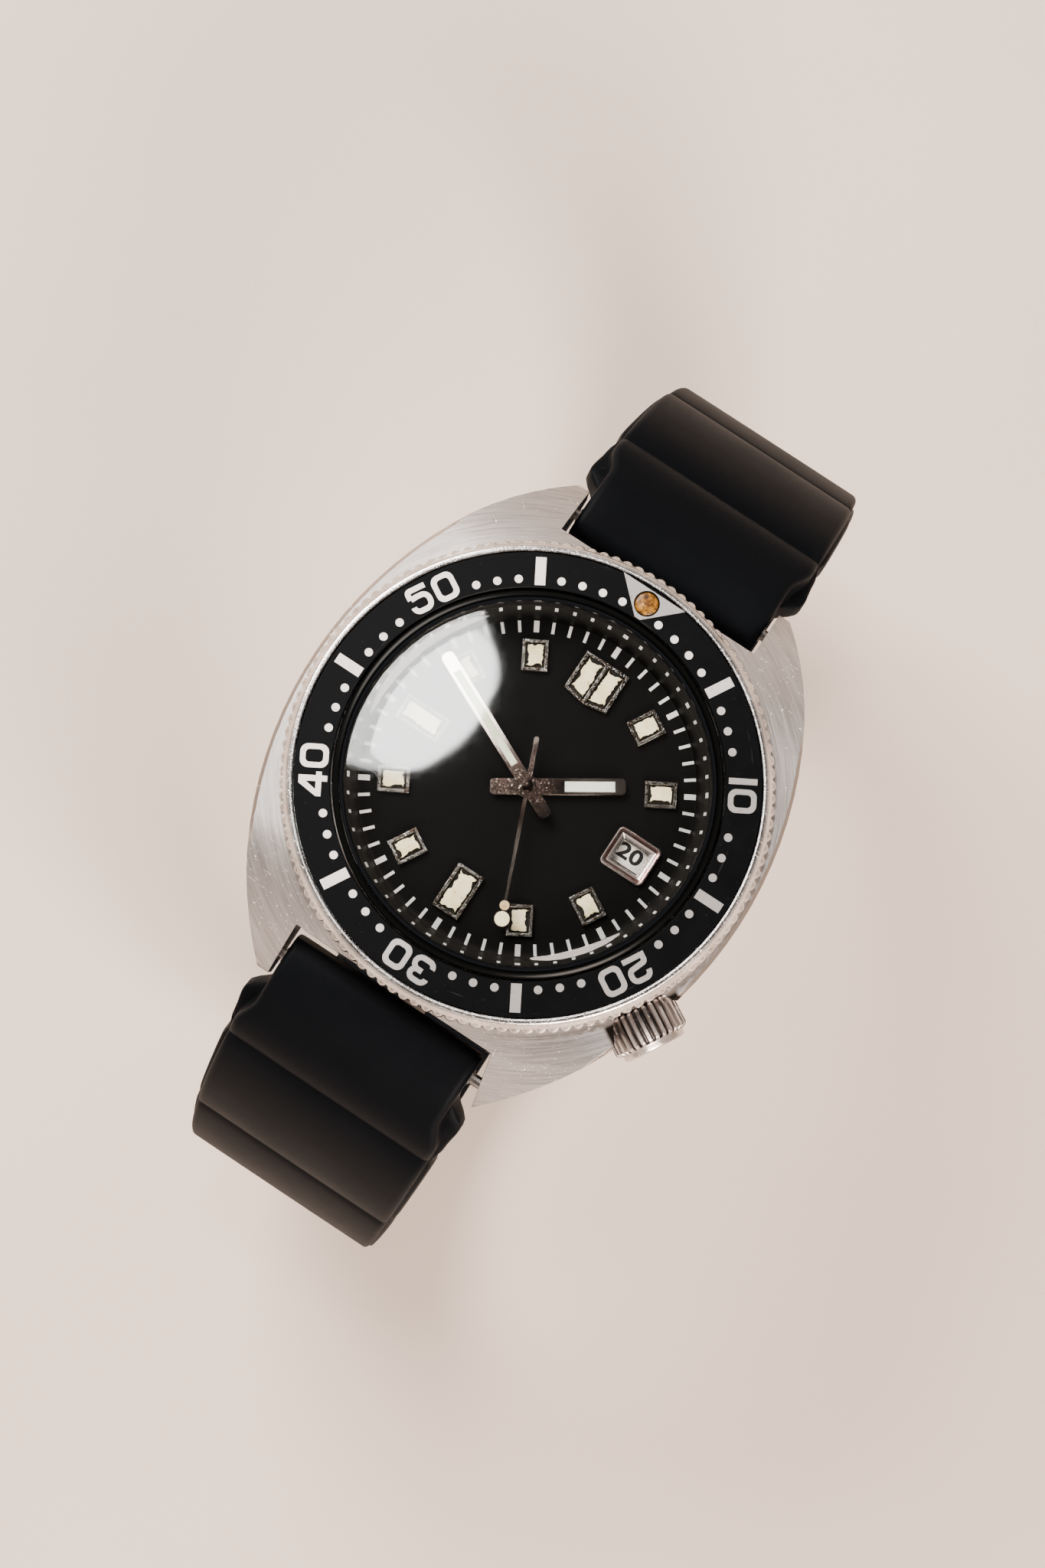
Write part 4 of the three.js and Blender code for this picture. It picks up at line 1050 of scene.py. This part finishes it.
def long_cutters(stations):
    """Seven slots. The tongue stands in the fifth from the case, on the low side of the loop."""
    low_side = [station for station in stations if station[0].y < -50]
    home = min(low_side, key=lambda station: abs(station[0].x - TONGUE_X))[2]
    made = []
    for k in range(-4, 3):
        place, along, _ = min(stations, key=lambda station: abs(station[2] - home - k * SLOT_SPACING))
        turn = math.atan2(along.y, along.x)
        made.append(slot_cutter(f"slot_{k}", SLOT_HALF_WIDTH, 2.6, turn, (0, place.x, place.y)))
    return made


def short_cutters(stations):
    """The gap that the tongue's root turns in, at the buckle's bar."""
    return [slot_cutter("tongue_gap", SLOT_HALF_WIDTH, 3.7, 0, (0, 3.7, -65.2))]


strap_a = strap_piece("strap_buckle_side", SHORT_WAY, 1, False, short_cutters)
finished(strap_a, "case", RUBBER, "rubber_black", "strap_short", smooth=45)
strap_b = strap_piece("strap_hole_side", LONG_WAY, -1, True, long_cutters)
finished(strap_b, "case", RUBBER, "rubber_black", "strap_long", smooth=45)


KEEPER_HALF = 2.0
# How far through the wall, from 0 inside to 1 outside, and how far to the side, round the edges.
KEEPER_EDGES = [(0, -0.78), (0, 0.78), (0.05, 0.94), (0.3, 1.0), (0.7, 1.0), (0.92, 0.93), (1, 0.78),
                (1, 0.3), (1, -0.3), (1, -0.78), (0.92, -0.93), (0.7, -1.0), (0.3, -1.0), (0.05, -0.94)]


def keeper_loop(name, middle):
    """A moulded rubber loop with rounded edges, drawn round the two strap ends."""
    inner = [(x, z - 66.55) for x, z in rounded_frame(9.82, 3.27, 0.7)]
    outer = [(x, z - 66.65) for x, z in rounded_frame(10.98, 4.33, 1.5)]
    rings = []
    for (xi, zi), (xo, zo) in zip(inner, outer):
        rings.append([(xi + (xo - xi) * out, middle + KEEPER_HALF * side, zi + (zo - zi) * out)
                      for out, side in KEEPER_EDGES])
    return lofted(name, rings, loop=True)


for kind, middle, body in (("fixed", 11.5, "case"), ("free", 18.5, "keeper")):
    loop = keeper_loop(f"keeper_loop_{kind}", middle)
    finished(loop, body, RUBBER, "rubber_black", f"keeper_{kind}", smooth=50)

# ---------------------------------------------------------------- buckle
refined("buckle_bow", "buckle_frame", "case", BUCKLE_STEEL, "steel_brushed", 0.35, 30, 3)
refined("buckle_pin", "buckle_tongue", "tongue", BUCKLE_STEEL, "steel_polished", 0.2, 30, 3)

# ---------------------------------------------------------------- pieces that keep their CAD shape
KEPT = {
    BRIGHT: ["crown_tube", "spring_bar_12", "spring_bar_6", "buckle_bar", "winding_stem", "clutch_wheel",
             "train_bridge", "balance_cock", "escape_wheel", "pallet_fork", "hairspring", "cannon_pinion",
             "rotor", "rotor_bearing"],
    BRASS: ["main_plate", "barrel", "centre_wheel", "third_wheel", "fourth_wheel", "balance_wheel",
            "minute_wheel", "hour_wheel"],
    SEAL: ["case_back_gasket", "bezel_gasket", "crown_gasket"],
    DATE_WHITE: ["movement_ring"],
}
for material, names in KEPT.items():
    for node in names:
        paint(node, material)

# ---------------------------------------------------------------- floor, light and camera
def pale_floor():
    """A plain warm floor under the watch."""
    f = Finish("floor_pale")
    tone = f.mix(f.noise(0.02, 3), (0.77, 0.66, 0.58), (0.82, 0.72, 0.645))
    f.surface(Base_Color=tone, Roughness=0.8)
    bpy.ops.object.select_all(action="DESELECT")
    bpy.ops.mesh.primitive_plane_add(size=6, location=(0, 0, 0))
    floor = bpy.context.active_object
    floor.name = "floor"
    floor.data.materials.append(f.material)


# The room's light by height, from the floor's level to straight overhead, where it is dark.
SKY = [(0.0, (0.60, 0.50, 0.42)), (0.35, (0.86, 0.74, 0.66)), (0.68, (0.60, 0.51, 0.46)),
       (0.90, (0.07, 0.058, 0.052)), (1.0, (0.02, 0.017, 0.015))]


def studio_sky():
    world = bpy.data.worlds.new("studio")
    bpy.context.scene.world = world
    world.use_nodes = True
    sky = world.node_tree
    sky.nodes.clear()
    direction = sky.nodes.new("ShaderNodeTexCoord")
    upward = sky.nodes.new("ShaderNodeSeparateXYZ")
    ramp = sky.nodes.new("ShaderNodeValToRGB")
    shade = sky.nodes.new("ShaderNodeBackground")
    air = sky.nodes.new("ShaderNodeOutputWorld")
    while len(ramp.color_ramp.elements) < len(SKY):
        ramp.color_ramp.elements.new(0.5)
    for stop, (position, tone) in zip(ramp.color_ramp.elements, SKY):
        stop.position, stop.color = position, (*tone, 1)
    sky.links.new(direction.outputs["Generated"], upward.inputs[0])
    sky.links.new(upward.outputs[2], ramp.inputs[0])
    sky.links.new(ramp.outputs[0], shade.inputs[0])
    sky.links.new(shade.outputs[0], air.inputs[0])
    shade.inputs[1].default_value = 0.9


pale_floor()
studio_sky()


def lamp(name, place_mm, size_mm, power, tone, target_mm=(0, 0, 0)):
    """A round soft light in the watch head's plan, turned to its target."""
    light = bpy.data.lights.new(name, "AREA")
    light.shape, light.size, light.energy, light.color = "DISK", size_mm * MM, power, tone
    holder = bpy.data.objects.new(name, light)
    bpy.context.scene.collection.objects.link(holder)
    place, target = TO_FRAME @ Vector(place_mm), TO_FRAME @ Vector(target_mm)
    holder.location = place
    holder.rotation_mode = "QUATERNION"
    holder.rotation_quaternion = (place - target).to_track_quat("Z", "Y")


lamp("softbox_window", (-48, 39, 300), 41, 0.105, (1.0, 0.99, 0.98), (-12, 4, 0))
lamp("softbox_left", (-300, 130, 290), 280, 2.7, (1.0, 0.93, 0.87))
lamp("softbox_right", (340, -260, 260), 260, 3.4, (1.0, 0.87, 0.78))

# The camera's sides and its place over the hands' axis, in millimetres.
CAMERA_RIGHT, CAMERA_UP = (0.8352, 0.5494, 0.0251), (-0.5482, 0.8279, 0.1183)
CAMERA_BACK, CAMERA_PLACE = (0.0443, -0.1125, 0.9927), (9.23, -24.64, 214.3)
lens = bpy.data.cameras.new("camera")
lens.lens, lens.sensor_width, lens.clip_start, lens.clip_end = 62.24, 36, 0.01, 20
camera = bpy.data.objects.new("camera", lens)
bpy.context.scene.collection.objects.link(camera)
camera.matrix_world = Matrix((CAMERA_RIGHT, CAMERA_UP, CAMERA_BACK)).transposed().to_4x4()
camera.location = TO_FRAME @ Vector(CAMERA_PLACE)
bpy.context.scene.camera = camera
bpy.context.scene.view_settings.look = "AgX - Medium High Contrast"

bpy.context.view_layer.update()
